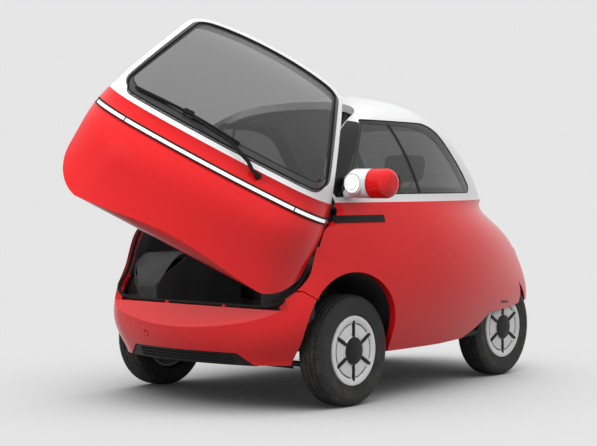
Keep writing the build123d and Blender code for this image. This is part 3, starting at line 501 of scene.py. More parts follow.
def rounded_section(width, height, radius, steps, base):
    """A rectangle with round upper corners, as (across, out) points, from base upwards."""
    half = width / 2
    points = [(-half, base), (half, base)]
    for centre, start in ((half - radius, 0.0), (-half + radius, 90.0)):
        for k in range(steps + 1):
            a = math.radians(start + 90 * k / steps)
            points.append((centre + radius * math.cos(a), height - radius + radius * math.sin(a)))
    return points


# ---------------------------------------------------------------- shader helpers

class Net:
    """Short ways to add and join shader nodes."""

    def __init__(self, tree):
        self.tree = tree

    def node(self, kind, settings=None, **inputs):
        """A new node with its settings and input values."""
        made = self.tree.nodes.new(kind)
        for key, value in (settings or {}).items():
            setattr(made, key, value)
        for key, value in inputs.items():
            self.set(made.inputs[key.replace("_", " ")], value)
        return made

    def set(self, socket, value):
        """Joins a socket to another, or gives it a value."""
        if hasattr(value, "is_output"):
            self.tree.links.new(value, socket)
        else:
            socket.default_value = value

    def math(self, operation, a, b):
        """One step of arithmetic on two values."""
        made = self.tree.nodes.new("ShaderNodeMath")
        made.operation = operation
        self.set(made.inputs[0], a)
        self.set(made.inputs[1], b)
        return made.outputs[0]

    def ramp(self, value, low, high):
        """Rises smoothly from 0 at low to 1 at high."""
        made = self.tree.nodes.new("ShaderNodeMapRange")
        made.interpolation_type = "SMOOTHSTEP"
        self.set(made.inputs["Value"], value)
        self.set(made.inputs["From Min"], low)
        self.set(made.inputs["From Max"], high)
        return made.outputs["Result"]

    def blend(self, share, a, b):
        """A colour between a and b."""
        made = self.tree.nodes.new("ShaderNodeMix")
        made.data_type = "RGBA"
        self.set(made.inputs[0], share)
        self.set(made.inputs[6], a)
        self.set(made.inputs[7], b)
        return made.outputs[2]

    def noise(self, vector, scale, detail, roughness):
        """Cloudy noise between 0 and 1."""
        made = self.node("ShaderNodeTexNoise", Scale=scale, Detail=detail, Roughness=roughness)
        self.set(made.inputs["Vector"], vector)
        return made.outputs["Fac"]

    def bump(self, height, strength, distance):
        """A normal bent by a height."""
        made = self.node("ShaderNodeBump", Strength=strength, Distance=distance)
        self.set(made.inputs["Height"], height)
        return made.outputs["Normal"]


def effect_group(name, inputs, outputs, fill):
    """A shader node group with named inputs and outputs, built once."""
    if name in bpy.data.node_groups:
        return bpy.data.node_groups[name]
    tree = bpy.data.node_groups.new(name, "ShaderNodeTree")
    for label, kind, value in inputs:
        socket = tree.interface.new_socket(label, in_out="INPUT", socket_type=kind)
        socket.default_value = value
    for label, kind in outputs:
        tree.interface.new_socket(label, in_out="OUTPUT", socket_type=kind)
    net = Net(tree)
    entry, leave = tree.nodes.new("NodeGroupInput"), tree.nodes.new("NodeGroupOutput")
    for label, value in fill(net, entry.outputs).items():
        net.set(leave.inputs[label], value)
    return tree


NUMBER, COLOUR, VECTOR = "NodeSocketFloat", "NodeSocketColor", "NodeSocketVector"


def grain_group():
    """Fine moulded or cast grain: a height and a slow patchiness."""
    def fill(net, given):
        fine = net.noise(given["Place"], given["Scale"], 2.0, 0.6)
        cells = net.node("ShaderNodeTexVoronoi", {"feature": "F1"})
        net.set(cells.inputs["Vector"], given["Place"])
        net.set(cells.inputs["Scale"], given["Scale"])
        height = net.math("ADD", net.math("MULTIPLY", fine, 0.6),
                          net.math("MULTIPLY", cells.outputs["Distance"], 0.6))
        return {"Height": height, "Patches": net.noise(given["Place"], 7.0, 4.0, 0.6)}
    return effect_group("moulded_grain",
                        [("Place", VECTOR, (0, 0, 0)), ("Scale", NUMBER, 400.0)],
                        [("Height", NUMBER), ("Patches", NUMBER)], fill)


def dust_group():
    """Road dust: patches of it, and more of them low down."""
    def fill(net, given):
        apart = net.node("ShaderNodeSeparateXYZ")
        net.set(apart.inputs[0], given["Place"])
        low = net.math("SUBTRACT", 1.0, net.ramp(apart.outputs["Z"], 0.0, given["Top"]))
        patch = net.ramp(net.noise(given["Place"], 26.0, 5.0, 0.65), 0.38, 0.72)
        share = net.math("MULTIPLY", net.math("MULTIPLY", low, patch), given["Amount"])
        return {"Colour": net.blend(share, given["Colour"], given["Dust"]), "Mask": share}
    return effect_group("road_dust",
                        [("Place", VECTOR, (0, 0, 0)), ("Colour", COLOUR, (0, 0, 0, 1)),
                         ("Dust", COLOUR, (0.16, 0.14, 0.12, 1)), ("Amount", NUMBER, 0.3),
                         ("Top", NUMBER, 0.5)],
                        [("Colour", COLOUR), ("Mask", NUMBER)], fill)


def weave_group():
    """Plain woven cloth: a height, and where the lighter yarn shows."""
    def fill(net, given):
        waves = []
        for direction in ("X", "Y", "Z"):
            wave = net.node("ShaderNodeTexWave", {"bands_direction": direction},
                            Distortion=0.5, Detail=1.0)
            net.set(wave.inputs["Vector"], given["Place"])
            net.set(wave.inputs["Scale"], given["Scale"])
            waves.append(wave.outputs["Fac"])
        height = net.math("ADD", net.math("MULTIPLY", waves[0], waves[1]), waves[2])
        height = net.math("MULTIPLY", height, 0.5)
        return {"Height": height,
                "Melange": net.ramp(net.noise(given["Place"], 900.0, 2.0, 0.7), 0.3, 0.7)}
    return effect_group("cloth_weave",
                        [("Place", VECTOR, (0, 0, 0)), ("Scale", NUMBER, 190.0)],
                        [("Height", NUMBER), ("Melange", NUMBER)], fill)


def skin_group():
    """Spray skin of paint: orange peel, and slight unevenness of the colour."""
    def fill(net, given):
        peel = net.noise(given["Place"], 420.0, 1.0, 0.4)
        cloud = net.noise(given["Place"], 2.2, 3.0, 0.5)
        shade = net.math("ADD", 1.0, net.math("MULTIPLY", net.math("SUBTRACT", cloud, 0.5),
                                              given["Unevenness"]))
        hue = net.node("ShaderNodeHueSaturation")
        net.set(hue.inputs["Value"], shade)
        net.set(hue.inputs["Color"], given["Colour"])
        return {"Colour": hue.outputs["Color"], "Height": peel}
    return effect_group("paint_skin",
                        [("Place", VECTOR, (0, 0, 0)), ("Colour", COLOUR, (1, 1, 1, 1)),
                         ("Unevenness", NUMBER, 0.08)],
                        [("Colour", COLOUR), ("Height", NUMBER)], fill)


def new_material(name):
    """An empty node material with its shader, and a net to add to."""
    made = bpy.data.materials.new(name)
    made.use_nodes = True
    net = Net(made.node_tree)
    shader = made.node_tree.nodes["Principled BSDF"]
    place = net.node("ShaderNodeTexCoord").outputs["Object"]
    return made, net, shader, place


def effect(net, group, place, **inputs):
    """Outputs of a new node that runs a group."""
    made = net.tree.nodes.new("ShaderNodeGroup")
    made.node_tree = group
    net.set(made.inputs["Place"], place)
    for key, value in inputs.items():
        net.set(made.inputs[key], value)
    return made.outputs


def set_inputs(net, shader, values):
    """Sets or joins several inputs of a shader."""
    for key, value in values.items():
        net.set(shader.inputs[key], value)


def paint(name, colour, dust=0.05, uneven=0.06, roughness=0.34):
    """Body paint under clear lacquer, a little dusty low down."""
    made, net, shader, place = new_material(name)
    skin = effect(net, skin_group(), place, Colour=colour, Unevenness=uneven)
    dusty = effect(net, dust_group(), place, Colour=skin["Colour"], Amount=dust, Top=0.42)
    set_inputs(net, shader, {
        "Base Color": dusty["Colour"],
        "Roughness": net.math("ADD", roughness, net.math("MULTIPLY", dusty["Mask"], 0.5)),
        "Specular IOR Level": 0.12,
        "Coat Weight": 0.55, "Coat Roughness": 0.035, "Coat IOR": 1.5,
        "Normal": net.bump(skin["Height"], 0.035, 0.0006)})
    return made


def grained(name, colour, lighter, scale, roughness, bump, metallic=0.0, dust=0.08,
            specular=0.5, depth=0.0004, coat=0.0):
    """Plastic, rubber or metal with a fine grain and slow patches."""
    made, net, shader, place = new_material(name)
    grain = effect(net, grain_group(), place, Scale=scale)
    tone = net.blend(net.ramp(grain["Patches"], 0.3, 0.75), colour, lighter)
    dusty = effect(net, dust_group(), place, Colour=tone, Amount=dust, Top=0.6)
    rough = net.math("ADD", roughness - 0.06, net.math("MULTIPLY", grain["Patches"], 0.14))
    set_inputs(net, shader, {
        "Base Color": dusty["Colour"],
        "Roughness": net.math("ADD", rough, net.math("MULTIPLY", dusty["Mask"], 0.3)),
        "Metallic": metallic, "Specular IOR Level": specular, "Coat Weight": coat,
        "Coat Roughness": 0.08,
        "Normal": net.bump(grain["Height"], bump, depth)})
    return made


def cloth(name, colour, lighter):
    """Woven seat cloth, with painted shade in the hollows of its weave and painted light on its ridges."""
    made, net, shader, place = new_material(name)
    weave = effect(net, weave_group(), place, Scale=190.0)
    tone = net.blend(weave["Melange"], colour, lighter)
    # Painted shade and light: the weave's height darkens the colour in its hollows and lightens it on its ridges.
    shade = net.node("ShaderNodeHueSaturation")
    net.set(shade.inputs["Color"], tone)
    height = net.math("MULTIPLY", weave["Height"], 0.4)
    net.set(shade.inputs["Value"], net.math("ADD", 0.75, height))
    set_inputs(net, shader, {
        "Base Color": shade.outputs["Color"], "Roughness": 0.9, "Sheen Weight": 0.25,
        "Sheen Roughness": 0.5, "Normal": net.bump(weave["Height"], 0.5, 0.0008)})
    return made


def glass(name, tint, share):
    """Tinted sheet glass: part of the light goes straight through, the rest is gloss."""
    made, net, shader, place = new_material(name)
    haze = net.math("MULTIPLY", net.ramp(net.noise(place, 3.0, 4.0, 0.6), 0.45, 0.85), 0.03)
    set_inputs(net, shader, {
        "Base Color": tint, "Roughness": net.math("ADD", 0.02, haze),
        "Coat Weight": 1.0, "Coat Roughness": 0.01, "Alpha": share})
    made.surface_render_method = "BLENDED"
    return made


def lit(name, colour, strength, base=(0.9, 0.9, 0.9, 1.0), scale=60.0):
    """A lamp's glowing diffuser, a little brighter in its prisms."""
    made, net, shader, place = new_material(name)
    cells = net.node("ShaderNodeTexVoronoi", {"feature": "SMOOTH_F1"}, Scale=scale)
    net.set(cells.inputs["Vector"], place)
    prism = net.ramp(cells.outputs["Distance"], 0.1, 0.6)
    set_inputs(net, shader, {
        "Base Color": base, "Roughness": 0.25, "Coat Weight": 1.0,
        "Emission Color": net.blend(prism, colour, tuple(0.82 * c for c in colour[:3]) + (1.0,)),
        "Emission Strength": strength,
        "Normal": net.bump(prism, 0.15, 0.001)})
    return made


# ---------------------------------------------------------------- sizes and colours

class MicrocarColours(bpy.types.PropertyGroup):
    """Colours of the car's finishes."""
    body: bpy.props.FloatVectorProperty(
        name="Body paint", description="Lower body and door", subtype="COLOR", size=4,
        default=(0.84, 0.009, 0.012, 1.0), min=0, max=1)
    roof: bpy.props.FloatVectorProperty(
        name="Roof paint", description="Roof, window frames and lamp pods", subtype="COLOR",
        size=4, default=(0.88, 0.885, 0.89, 1.0), min=0, max=1)
    glass: bpy.props.FloatVectorProperty(
        name="Glass", description="Tint of the windows", subtype="COLOR", size=4,
        default=(0.035, 0.037, 0.038, 1.0), min=0, max=1)
    seats: bpy.props.FloatVectorProperty(
        name="Seats", description="Cloth of the bench and headrests", subtype="COLOR", size=4,
        default=(0.018, 0.018, 0.019, 1.0), min=0, max=1)
    glass_share: bpy.props.FloatProperty(
        name="Glass density", description="Share of light that the glass keeps back",
        default=0.51, min=0, max=1, subtype="FACTOR")
    lamp_glow: bpy.props.FloatProperty(
        name="Headlamp glow", description="Strength of the lit headlamps", default=1.5, min=0)


class MicrocarTyres(bpy.types.PropertyGroup):
    """Sizes of the tyres' tread."""
    blocks: bpy.props.IntProperty(
        name="Blocks", description="Tread blocks round a tyre", default=118, min=20, max=160)
    groove: bpy.props.FloatProperty(
        name="Groove depth", description="Depth of the grooves round the tread",
        default=0.005, min=0, max=0.01, unit="LENGTH")
    sipe: bpy.props.FloatProperty(
        name="Sipe depth", description="Depth of the cuts across the shoulders",
        default=0.0042, min=0, max=0.01, unit="LENGTH")


class MicrocarTrim(bpy.types.PropertyGroup):
    """Sizes of seals and window borders."""
    seal_radius: bpy.props.FloatProperty(
        name="Door seal", description="Radius of the rubber seal round the door opening",
        default=0.009, min=0.004, max=0.02, unit="LENGTH")
    screen_border: bpy.props.FloatProperty(
        name="Windscreen border", description="Width of the windscreen's grey border",
        default=0.014, min=0.01, max=0.06, unit="LENGTH")
    screen_outer: bpy.props.FloatProperty(
        name="Windscreen surround", description="Width of the grey border on the white frame",
        default=0.017, min=0.005, max=0.03, unit="LENGTH")
    screen_foot: bpy.props.FloatProperty(
        name="Windscreen foot", description="Width of that border along the wiper",
        default=0.040, min=0.01, max=0.1, unit="LENGTH")
    side_border: bpy.props.FloatProperty(
        name="Side window border", description="Widest part of the side windows' black border",
        default=0.066, min=0.01, max=0.09, unit="LENGTH")


class MicrocarStudio(bpy.types.PropertyGroup):
    """Camera and light of the studio."""
    azimuth: bpy.props.FloatProperty(
        name="Azimuth", description="Camera's bearing from the car's nose, to its left",
        default=math.radians(40.2973), subtype="ANGLE")
    elevation: bpy.props.FloatProperty(
        name="Elevation", description="Camera's height angle", default=math.radians(1.6093),
        subtype="ANGLE")
    distance: bpy.props.FloatProperty(
        name="Distance", description="Camera to the point it looks at", default=9.2398,
        min=1, unit="LENGTH")
    lens: bpy.props.FloatProperty(
        name="Lens", description="Focal length on a 36 mm wide sensor, in millimetres",
        default=94.67, min=10)
    backdrop: bpy.props.FloatProperty(
        name="Backdrop", description="Brightness of the floor and backdrop",
        default=0.79, min=0, max=1, subtype="FACTOR")
    key_power: bpy.props.FloatProperty(
        name="Key light", description="Power of the main softbox in watts", default=128, min=0)


SETTINGS = {"microcar_colours": MicrocarColours, "microcar_tyres": MicrocarTyres,
            "microcar_trim": MicrocarTrim, "microcar_studio": MicrocarStudio}
FINISHES = {}
# Slot of a piece by its finish, where the two names differ.
SLOT_OF = {"gloss_black": "black_plastic", "rubber": "black_plastic",
           "soft_trim": "black_plastic", "border_grey": "black_plastic", "chrome": "steel",
           "mirror": "steel", "copper": "steel"}


def finishes(colours):
    """Every material of the car by the name of its slot or its own name."""
    if FINISHES:
        return FINISHES
    grey = lambda v: (v, v, v, 1.0)
    FINISHES.update({
        "red_paint": paint("red_paint", tuple(colours.body)),
        "white_paint": paint("white_paint", tuple(colours.roof), 0.02, 0.015, 0.3),
        "grey_glass": glass("grey_glass", tuple(colours.glass), colours.glass_share),
        "lamp_glass": lit("lamp_glass", (1.0, 0.99, 0.96, 1.0), colours.lamp_glow),
        "light_white": lit("light_white", (1.0, 1.0, 1.0, 1.0), 0.4, scale=160.0),
        "lamp_red": lit("lamp_red", (0.9, 0.02, 0.02, 1.0), 0.12, (0.35, 0.006, 0.008, 1.0),
                        140.0),
        "black_plastic": grained("black_plastic", grey(0.006), grey(0.012), 520.0, 0.42, 0.2,
                                 specular=0.22),
        "dark_floor": grained("dark_floor", grey(0.014), grey(0.03), 300.0, 0.85, 0.5),
        "seat_fabric": cloth("seat_fabric", tuple(colours.seats),
                             tuple(2.6 * c for c in colours.seats[:3]) + (1.0,)),
        "tyre_rubber": grained("tyre_rubber", grey(0.009), grey(0.019), 650.0, 0.66, 0.3,
                               dust=0.35),
        "wheel_white": grained("wheel_white", (0.86, 0.86, 0.87, 1), (0.9, 0.9, 0.91, 1), 300.0,
                               0.34, 0.05, coat=0.8, dust=0.12),
        "battery_case": grained("battery_case", grey(0.03), grey(0.05), 240.0, 0.6, 0.3),
        "motor_alloy": grained("motor_alloy", grey(0.36), grey(0.5), 240.0, 0.42, 0.45,
                               metallic=0.9, depth=0.0008),
        "dark_steel": grained("dark_steel", grey(0.02), (0.04, 0.036, 0.032, 1), 300.0, 0.5, 0.4,
                              metallic=0.4, dust=0.5, depth=0.0006),
        "steel": grained("steel", grey(0.45), grey(0.6), 200.0, 0.3, 0.1, metallic=1.0),
        "rubber": grained("rubber", grey(0.005), grey(0.010), 700.0, 0.62, 0.15, specular=0.25),
        "gloss_black": grained("gloss_black", grey(0.004), grey(0.006), 200.0, 0.12, 0.02,
                               specular=0.3, coat=0.35),
        "border_grey": grained("border_grey", grey(0.04), grey(0.05), 400.0, 0.35, 0.02, coat=0.3,
                               dust=0.0),
        "soft_trim": grained("soft_trim", grey(0.05), grey(0.075), 260.0, 0.72, 0.5),
        "pale_trim": grained("pale_trim", grey(0.16), grey(0.2), 300.0, 0.55, 0.3),
        "mirror": grained("mirror", grey(0.85), grey(0.9), 100.0, 0.05, 0.0, metallic=1.0,
                          dust=0.0),
        "chrome": grained("chrome", grey(0.7), grey(0.8), 100.0, 0.12, 0.0, metallic=1.0,
                          dust=0.0),
        "copper": grained("copper", (0.6, 0.25, 0.1, 1), (0.7, 0.3, 0.12, 1), 200.0, 0.3, 0.1,
                          metallic=1.0),
    })
    return FINISHES


def made_of(name):
    """The material of a finish."""
    return finishes(bpy.context.scene.microcar_colours)[name]


# ---------------------------------------------------------------- the pieces

def dress_nodes():
    """Gives every CAD node the finish of its slot in the record."""
    slots = {s["node"]: s["material_slot"] for s in frame["record"]["subparts"]}
    for name, node in NODES.items():
        node.data.materials.clear()
        node.data.materials.append(made_of(slots[name]))
        node.data.shade_smooth()
        node.data.set_sharp_from_angle(angle=math.radians(32))


# ---- windows and door opening ----

def border(name, node, outward, turn, body, widths, finish):
    """A closed band on a pane, from its rim inwards, as wide as widths(point) says."""
    lift, sink, rows = 0.0012, 0.0004, 4
    skin = Skin([node], turn, outward)
    line = even(rim_loop(node, outward, turn), RIM_STEP)
    inner = shrunk(skin, line, [widths(p) for p in line], 8)
    grid, normals = [], []
    for a, b in zip(line, inner):
        row = [a.lerp(b, k / rows) for k in range(rows + 1)]
        hits = [skin.near(p) for p in row]
        ns = [n if n.dot(Vector(outward)) > 0 else -n for _, n in hits]
        ns[0] = ns[1]
        grid.append([p for p, _ in hits])
        normals.append(ns)
    Build().sheet(grid, normals, lift, sink, closed=True).make(name, finish, body, turn=turn)
    return inner, skin


def bead(name, line, skin, outward, width, height, turn, body, finish="rubber"):
    """A narrow round-topped strip along a closed line on a skin."""
    line = even(line, RIM_STEP)
    normals = []
    for p in line:
        n = skin.near(p)[1]
        normals.append(n if n.dot(Vector(outward)) > 0 else -n)
    section = rounded_section(width, height, min(width, height) * 0.45, 2, -0.0005)
    Build().sweep(line, normals, section, closed=True).make(name, finish, body, turn=turn)


def lowest(node, turn=STILL):
    """Height of a node's lowest point, in the pose where turn hasn't moved it yet."""
    back = turn.inverted()
    return min((back @ v.co).z for v in NODES[node].data.vertices)


def windscreen_trim():
    """Grey borders, an inner line and the rubber seal of the windscreen."""
    trim = bpy.context.scene.microcar_trim
    low = lowest("windscreen", DOOR)

    def widths(p):
        share = max(0.0, min(1.0, (low + 0.06 - p.z) / 0.05))
        return trim.screen_border + (trim.screen_foot - trim.screen_border) * share

    outward = (0.75, 0, 0.65)
    inner, skin = border("windscreen_border", "windscreen", outward, DOOR, "front_door",
                         widths, "border_grey")
    bead("windscreen_inner_line", inner, skin, outward, 0.007, 0.002, DOOR, "front_door",
         "gloss_black")
    frame_skin = Skin(["door_window_frame"], DOOR, outward, 0.1)
    around = even(rim_loop("windscreen", outward, DOOR), 0.010)
    rows = [shrunk(frame_skin, [frame_skin.near(p)[0] for p in around],
                   [-trim.screen_outer * share] * len(around), 4) for share in (0.0, 0.5, 1.0)]
    grid = [list(points) for points in zip(*rows)]
    normals = [[frame_skin.near(p)[1] for p in points] for points in grid]
    Build().sheet(grid, normals, 0.0014, 0.0004, closed=True).make(
        "windscreen_outer_border", "border_grey", "front_door", turn=DOOR)
    rim = even(rim_loop("windscreen", outward, DOOR), RIM_STEP)
    bead("windscreen_seal", shrunk(skin, rim, [0.0025] * len(rim), 1), skin, outward, 0.007,
         0.0085, DOOR, "front_door")


def side_window_trim():
    """Black borders, seals and dividers of the side windows."""
    trim = bpy.context.scene.microcar_trim
    for side, word in SIDES:

        def widths(p):
            if p.z < 1.012:
                return 0.007
            if p.x > 0.47:
                return 0.014
            rear = max(0.0, min(1.0, (0.12 - p.x) / 0.2))
            return 0.030 + (trim.side_border - 0.030) * rear

        outward = (0, side, 0.25)
        _, skin = border(f"{word}_window_border", f"{word}_side_window", outward, STILL,
                         "body", widths, "gloss_black")
        rim = even(rim_loop(f"{word}_side_window", outward), RIM_STEP)
        bead(f"{word}_window_seal", shrunk(skin, rim, [0.001] * len(rim), 1), skin, outward,
             0.006, 0.003, STILL, "body")
        divider = []
        for k in range(13):
            share = k / 12
            x, z = 0.275 - 0.115 * share, 1.352 - 0.345 * share
            divider.append(skin.side(x, z, side))
        section = rounded_section(0.017, 0.0025, 0.001, 2, -0.0004)
        Build().follow(divider, section).make(f"{word}_window_divider", "black_plastic", "body")


def rear_window_trim():
    """Black border, seal and heater lines of the rear window."""
    outward = (-0.75, 0, 0.65)
    _, skin = border("rear_window_border", "rear_window", outward, STILL, "rear_hatch",
                     lambda p: 0.028, "gloss_black")
    rim = even(rim_loop("rear_window", outward), RIM_STEP)
    bead("rear_window_seal", shrunk(skin, rim, [0.001] * len(rim), 1), skin, outward, 0.007,
         0.0035, STILL, "rear_hatch")
    low = lowest("rear_window")
    lines = Build()
    for k in range(9):
        z = low + 0.065 + 0.031 * k
        run = []
        for j in range(25):
            y = (j / 12 - 1) * (0.315 - 0.0105 * k)
            run.append(skin.rear(y, z))
        lines.follow(run, rounded_section(0.0016, 0.0006, 0.0003, 1, -0.0002))
    lines.make("rear_window_heater", "copper", "rear_hatch")


def door_edge(z):
    """Half width of the front door at a height on the shut door."""
    return 0.612 if z <= 0.9 else 0.612 - (z - 0.9) / 0.54 * 0.2


def pillar_covers():
    """Gloss black covers on the pillars between the door and the side windows."""
    for side, word in SIDES:
        roof = Skin(["roof"], STILL, (0.5, side, 0.2), 0.2)
        pane = Skin([f"{word}_side_window"], STILL, (0, side, 0.25), 0.3)
        rim = even(rim_loop(f"{word}_side_window", (0, side, 0.25)), 0.003)
        low, high = min(p.z for p in rim) + 0.024, max(p.z for p in rim) - 0.022
        grid, normals = [], []
        for k in range(41):
            z = 0.990 + 0.372 * k / 40
            front = roof.front(side * (door_edge(z) + 0.010), z)[0]
            level = min(max(z, low), high)
            behind = max((p for p in rim if abs(p.z - level) < 0.006), key=lambda p: p.x)
            edge = roof.near(Vector((behind.x, behind.y + side * 0.006, z)))[0]
            hits = [roof.near(front.lerp(edge, j / 8)) for j in range(9)]
            hits.append(pane.near(edge + Vector((-0.008, 0, 0))))
            grid.append([p for p, _ in hits])
            normals.append([n for _, n in hits])
        Build().sheet(grid, normals, 0.0016, 0.0006).make(
            f"{word}_pillar_cover", "gloss_black", "body")


def door_seal():
    """Rubber seal on the body's inner edge all round the door opening."""
    radius = bpy.context.scene.microcar_trim.seal_radius
    depth = 0.045                       # of its middle behind the door's outer skin
    step_x, step_z = 1.110, 0.4795      # along the step under the door
    panel_skin = Skin(["door_panel"], DOOR)
    frame_skin = Skin(["door_window_frame"], DOOR)
    half = []
    for k in range(9):
        half.append(Vector((step_x, 0.40 * k / 8, step_z)))
    for k in range(1, 9):
        a = math.radians(90 * k / 8)
        y, z = 0.442 + 0.176 * math.sin(a), 0.655 - 0.1755 * math.cos(a)
        p, n = panel_skin.front(min(y - 0.012, 0.60), max(z + 0.012, 0.50))
        deep = p - n * depth
        share = min(1.0, max(0.0, (z - 0.49) / 0.12))
        share = share * share * (3 - 2 * share)
        half.append(Vector((step_x + (deep.x - step_x) * share,
                            y + 0.008 - n.y * depth * share, z)))
    for k in range(1, 22):
        z = 0.66 + 0.66 * k / 21
        if 0.955 <= z < 0.975:          # the gap between panel and frame
            continue
        y = door_edge(z)
        skin = panel_skin if z < 0.955 else frame_skin
        p, n = skin.front(y - 0.01, z)
        half.append(Vector((p.x, y + 0.009, z)) - n * depth)
    top = []
    for k in range(12):
        y = 0.33 * (1 - k / 11)
        x = 1.476 - math.sqrt(1.156 ** 2 - y * y)
        p, n = frame_skin.cast((x + 0.014, y, 2.0), (0, 0, -1))
        top.append(Vector((x - 0.010, y, p.z)) - n * 0.046)
    side_end = half[-1]
    half += [side_end.lerp(top[0], 0.35) + Vector((0.004, 0.012, 0.012)),
             side_end.lerp(top[0], 0.7) + Vector((0.0, 0.008, 0.012))] + top
    mirrored = [Vector((p.x, -p.y, p.z)) for p in reversed(half[:-1])][:-1]
    line = even(half + mirrored, 0.012)
    for _ in range(16):
        line = [(line[k - 1] + line[k] * 2 + line[(k + 1) % len(line)]) / 4
                for k in range(len(line))]
    Build().tube(line, radius, 10, closed=True).make("door_opening_seal", "rubber", "body")


def wiper():
    """Arm, carrier and blade of the windscreen wiper, in place of the plain one."""
    skin = Skin(["windscreen", "door_window_frame", "door_panel"], DOOR)

    def over(y, z, stand):
        p, n = skin.front(y, z)
        return p + n * stand, n

    pivot, elbow, grip = (0.216, 0.944), (0.034, 1.004), (-0.1925, 1.030)
    build = Build()
    place = facing(*skin.front(*pivot))
    build.lathe([(0.0, -0.002), (0.017, -0.002), (0.017, 0.006), (0.014, 0.012), (0.012, 0.022),
                 (0.010, 0.026), (0.0, 0.027)], 24, place)
    arm = []
    for k in range(11):
        share = k / 10
        a, b, part = (pivot, elbow, share) if share < 0.5 else (elbow, grip, share - 0.5)
        y = a[0] + (b[0] - a[0]) * part * 2
        z = a[1] + (b[1] - a[1]) * part * 2
        arm.append(over(y, z, 0.018 + 0.012 * math.sin(math.pi * share)))
    build.follow(arm, rounded_section(0.015, 0.006, 0.002, 2, -0.002),
                scale=lambda s: 1.25 - 0.5 * s)
    build.make("wiper_arm", "black_plastic", "front_door", turn=DOOR)
    blade, rubber = [], []
    for k in range(25):
        share = k / 24
        y = -0.459 + 0.533 * share
        z = 1.024 + 0.012 * math.sin(math.pi * share)
        blade.append(over(y, z, 0.011))
        rubber.append(over(y, z, 0.0015))
    section = [(-0.009, 0.0), (0.009, 0.0), (0.008, 0.004), (0.003, 0.010), (-0.001, 0.012),
               (-0.006, 0.006)]
    cover = Build().follow(blade, section)
    cover.block((-0.024, -0.011, 0.0), (0.024, 0.011, 0.017),
                facing(*blade[12], LEFT))
    spine = cover.make("wiper_blade", "black_plastic", "front_door", turn=DOOR)
    lip = [(-0.0035, 0.009), (0.0035, 0.009), (0.003, 0.005), (0.0008, 0.0), (-0.0008, 0.0),
           (-0.003, 0.005)]
    Build().follow(rubber, lip).make("wiper_rubber", "rubber", "front_door", turn=DOOR)
    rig.replaces(spine, "wiper")


# ---- wheels ----

SPOKES = 6                  # of each wheel cover, 60 degrees apart

# Half section of a tyre, from bead to crown: radius, across, kind.
HALF_TYRE = (
    (0.1655, 0.0560, "wall"), (0.1690, 0.0610, "wall"), (0.1750, 0.0628, "wall"),
    (0.1775, 0.0650, "ring"), (0.1800, 0.0652, "ring"), (0.1825, 0.0650, "wall"),
    (0.1950, 0.0683, "wall"), (0.2080, 0.0700, "wall"), (0.2200, 0.0703, "wall"),
    (0.2270, 0.0700, "ring"), (0.2285, 0.0706, "ring"), (0.2310, 0.0696, "wall"),
    (0.2390, 0.0680, "shoulder"), (0.2460, 0.0657, "shoulder"),
    (0.2520, 0.0628, "shoulder"), (0.2570, 0.0588, "shoulder"),
    (0.2603, 0.0540, "shoulder"), (0.2622, 0.0480, "shoulder"),
    (0.2632, 0.0420, "shoulder"), (0.2634, 0.0400, "gutter"), (0.2634, 0.0350, "gutter"),
    (0.2638, 0.0330, "rib"), (0.2643, 0.0250, "rib"), (0.2646, 0.0180, "rib"),
    (0.2647, 0.0160, "gutter"), (0.2647, 0.0110, "gutter"), (0.2649, 0.0090, "rib"),
    (0.2650, 0.0040, "rib"), (0.2650, 0.0, "rib"))


def tyre(word, end, side, settings):
    """A radial tyre with a ribbed crown and fine cuts across its shoulders."""
    profile = list(HALF_TYRE) + [(r, -a, k) for r, a, k in reversed(HALF_TYRE[:-1])]
    per_block = 4
    steps = settings.blocks * per_block
    points, faces = [], []
    count = len(profile)
    for s in range(steps):
        for r, across, kind in profile:
            shift = 0.0
            if kind == "rib":
                shift = 0.35 * across / 0.03
            elif kind == "shoulder":
                shift = 0.9 * (abs(across) - 0.042) / 0.02
            angle = math.tau * (s + shift * (1 if across >= 0 else -1)) / steps
            drop, grow = 0.0, 0.0
            if kind == "gutter":
                drop = settings.groove
            elif kind == "shoulder" and s % per_block < 2:
                drop = settings.sipe * max(0.0, min(1.0, (r - 0.236) / 0.01))
            elif kind == "rib" and s % per_block == 2 and abs(across) < 0.031:
                drop = settings.sipe * 0.7
            elif kind == "ring":
                grow = 0.0012
            points.append(polar(r - drop, angle,
                                across + math.copysign(grow, across) if across else 0.0))
    for s in range(steps):
        here, there = s * count, ((s + 1) % steps) * count
        for i in range(count - 1):
            faces.append((here + i, here + i + 1, there + i + 1, there + i))
        faces.append((here + count - 1, here, there, there + count - 1))
    low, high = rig.box(f"{end}_{word}_tyre")
    centre = (low + high) / 2
    place = facing(centre, (0, side, 0))
    thing = Build().add(points, faces, place).make(
        f"{end}_{word}_radial_tyre", "tyre_rubber", f"{end}_{word}_road_wheel", smooth=50)
    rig.replaces(thing, f"{end}_{word}_tyre")
    return centre


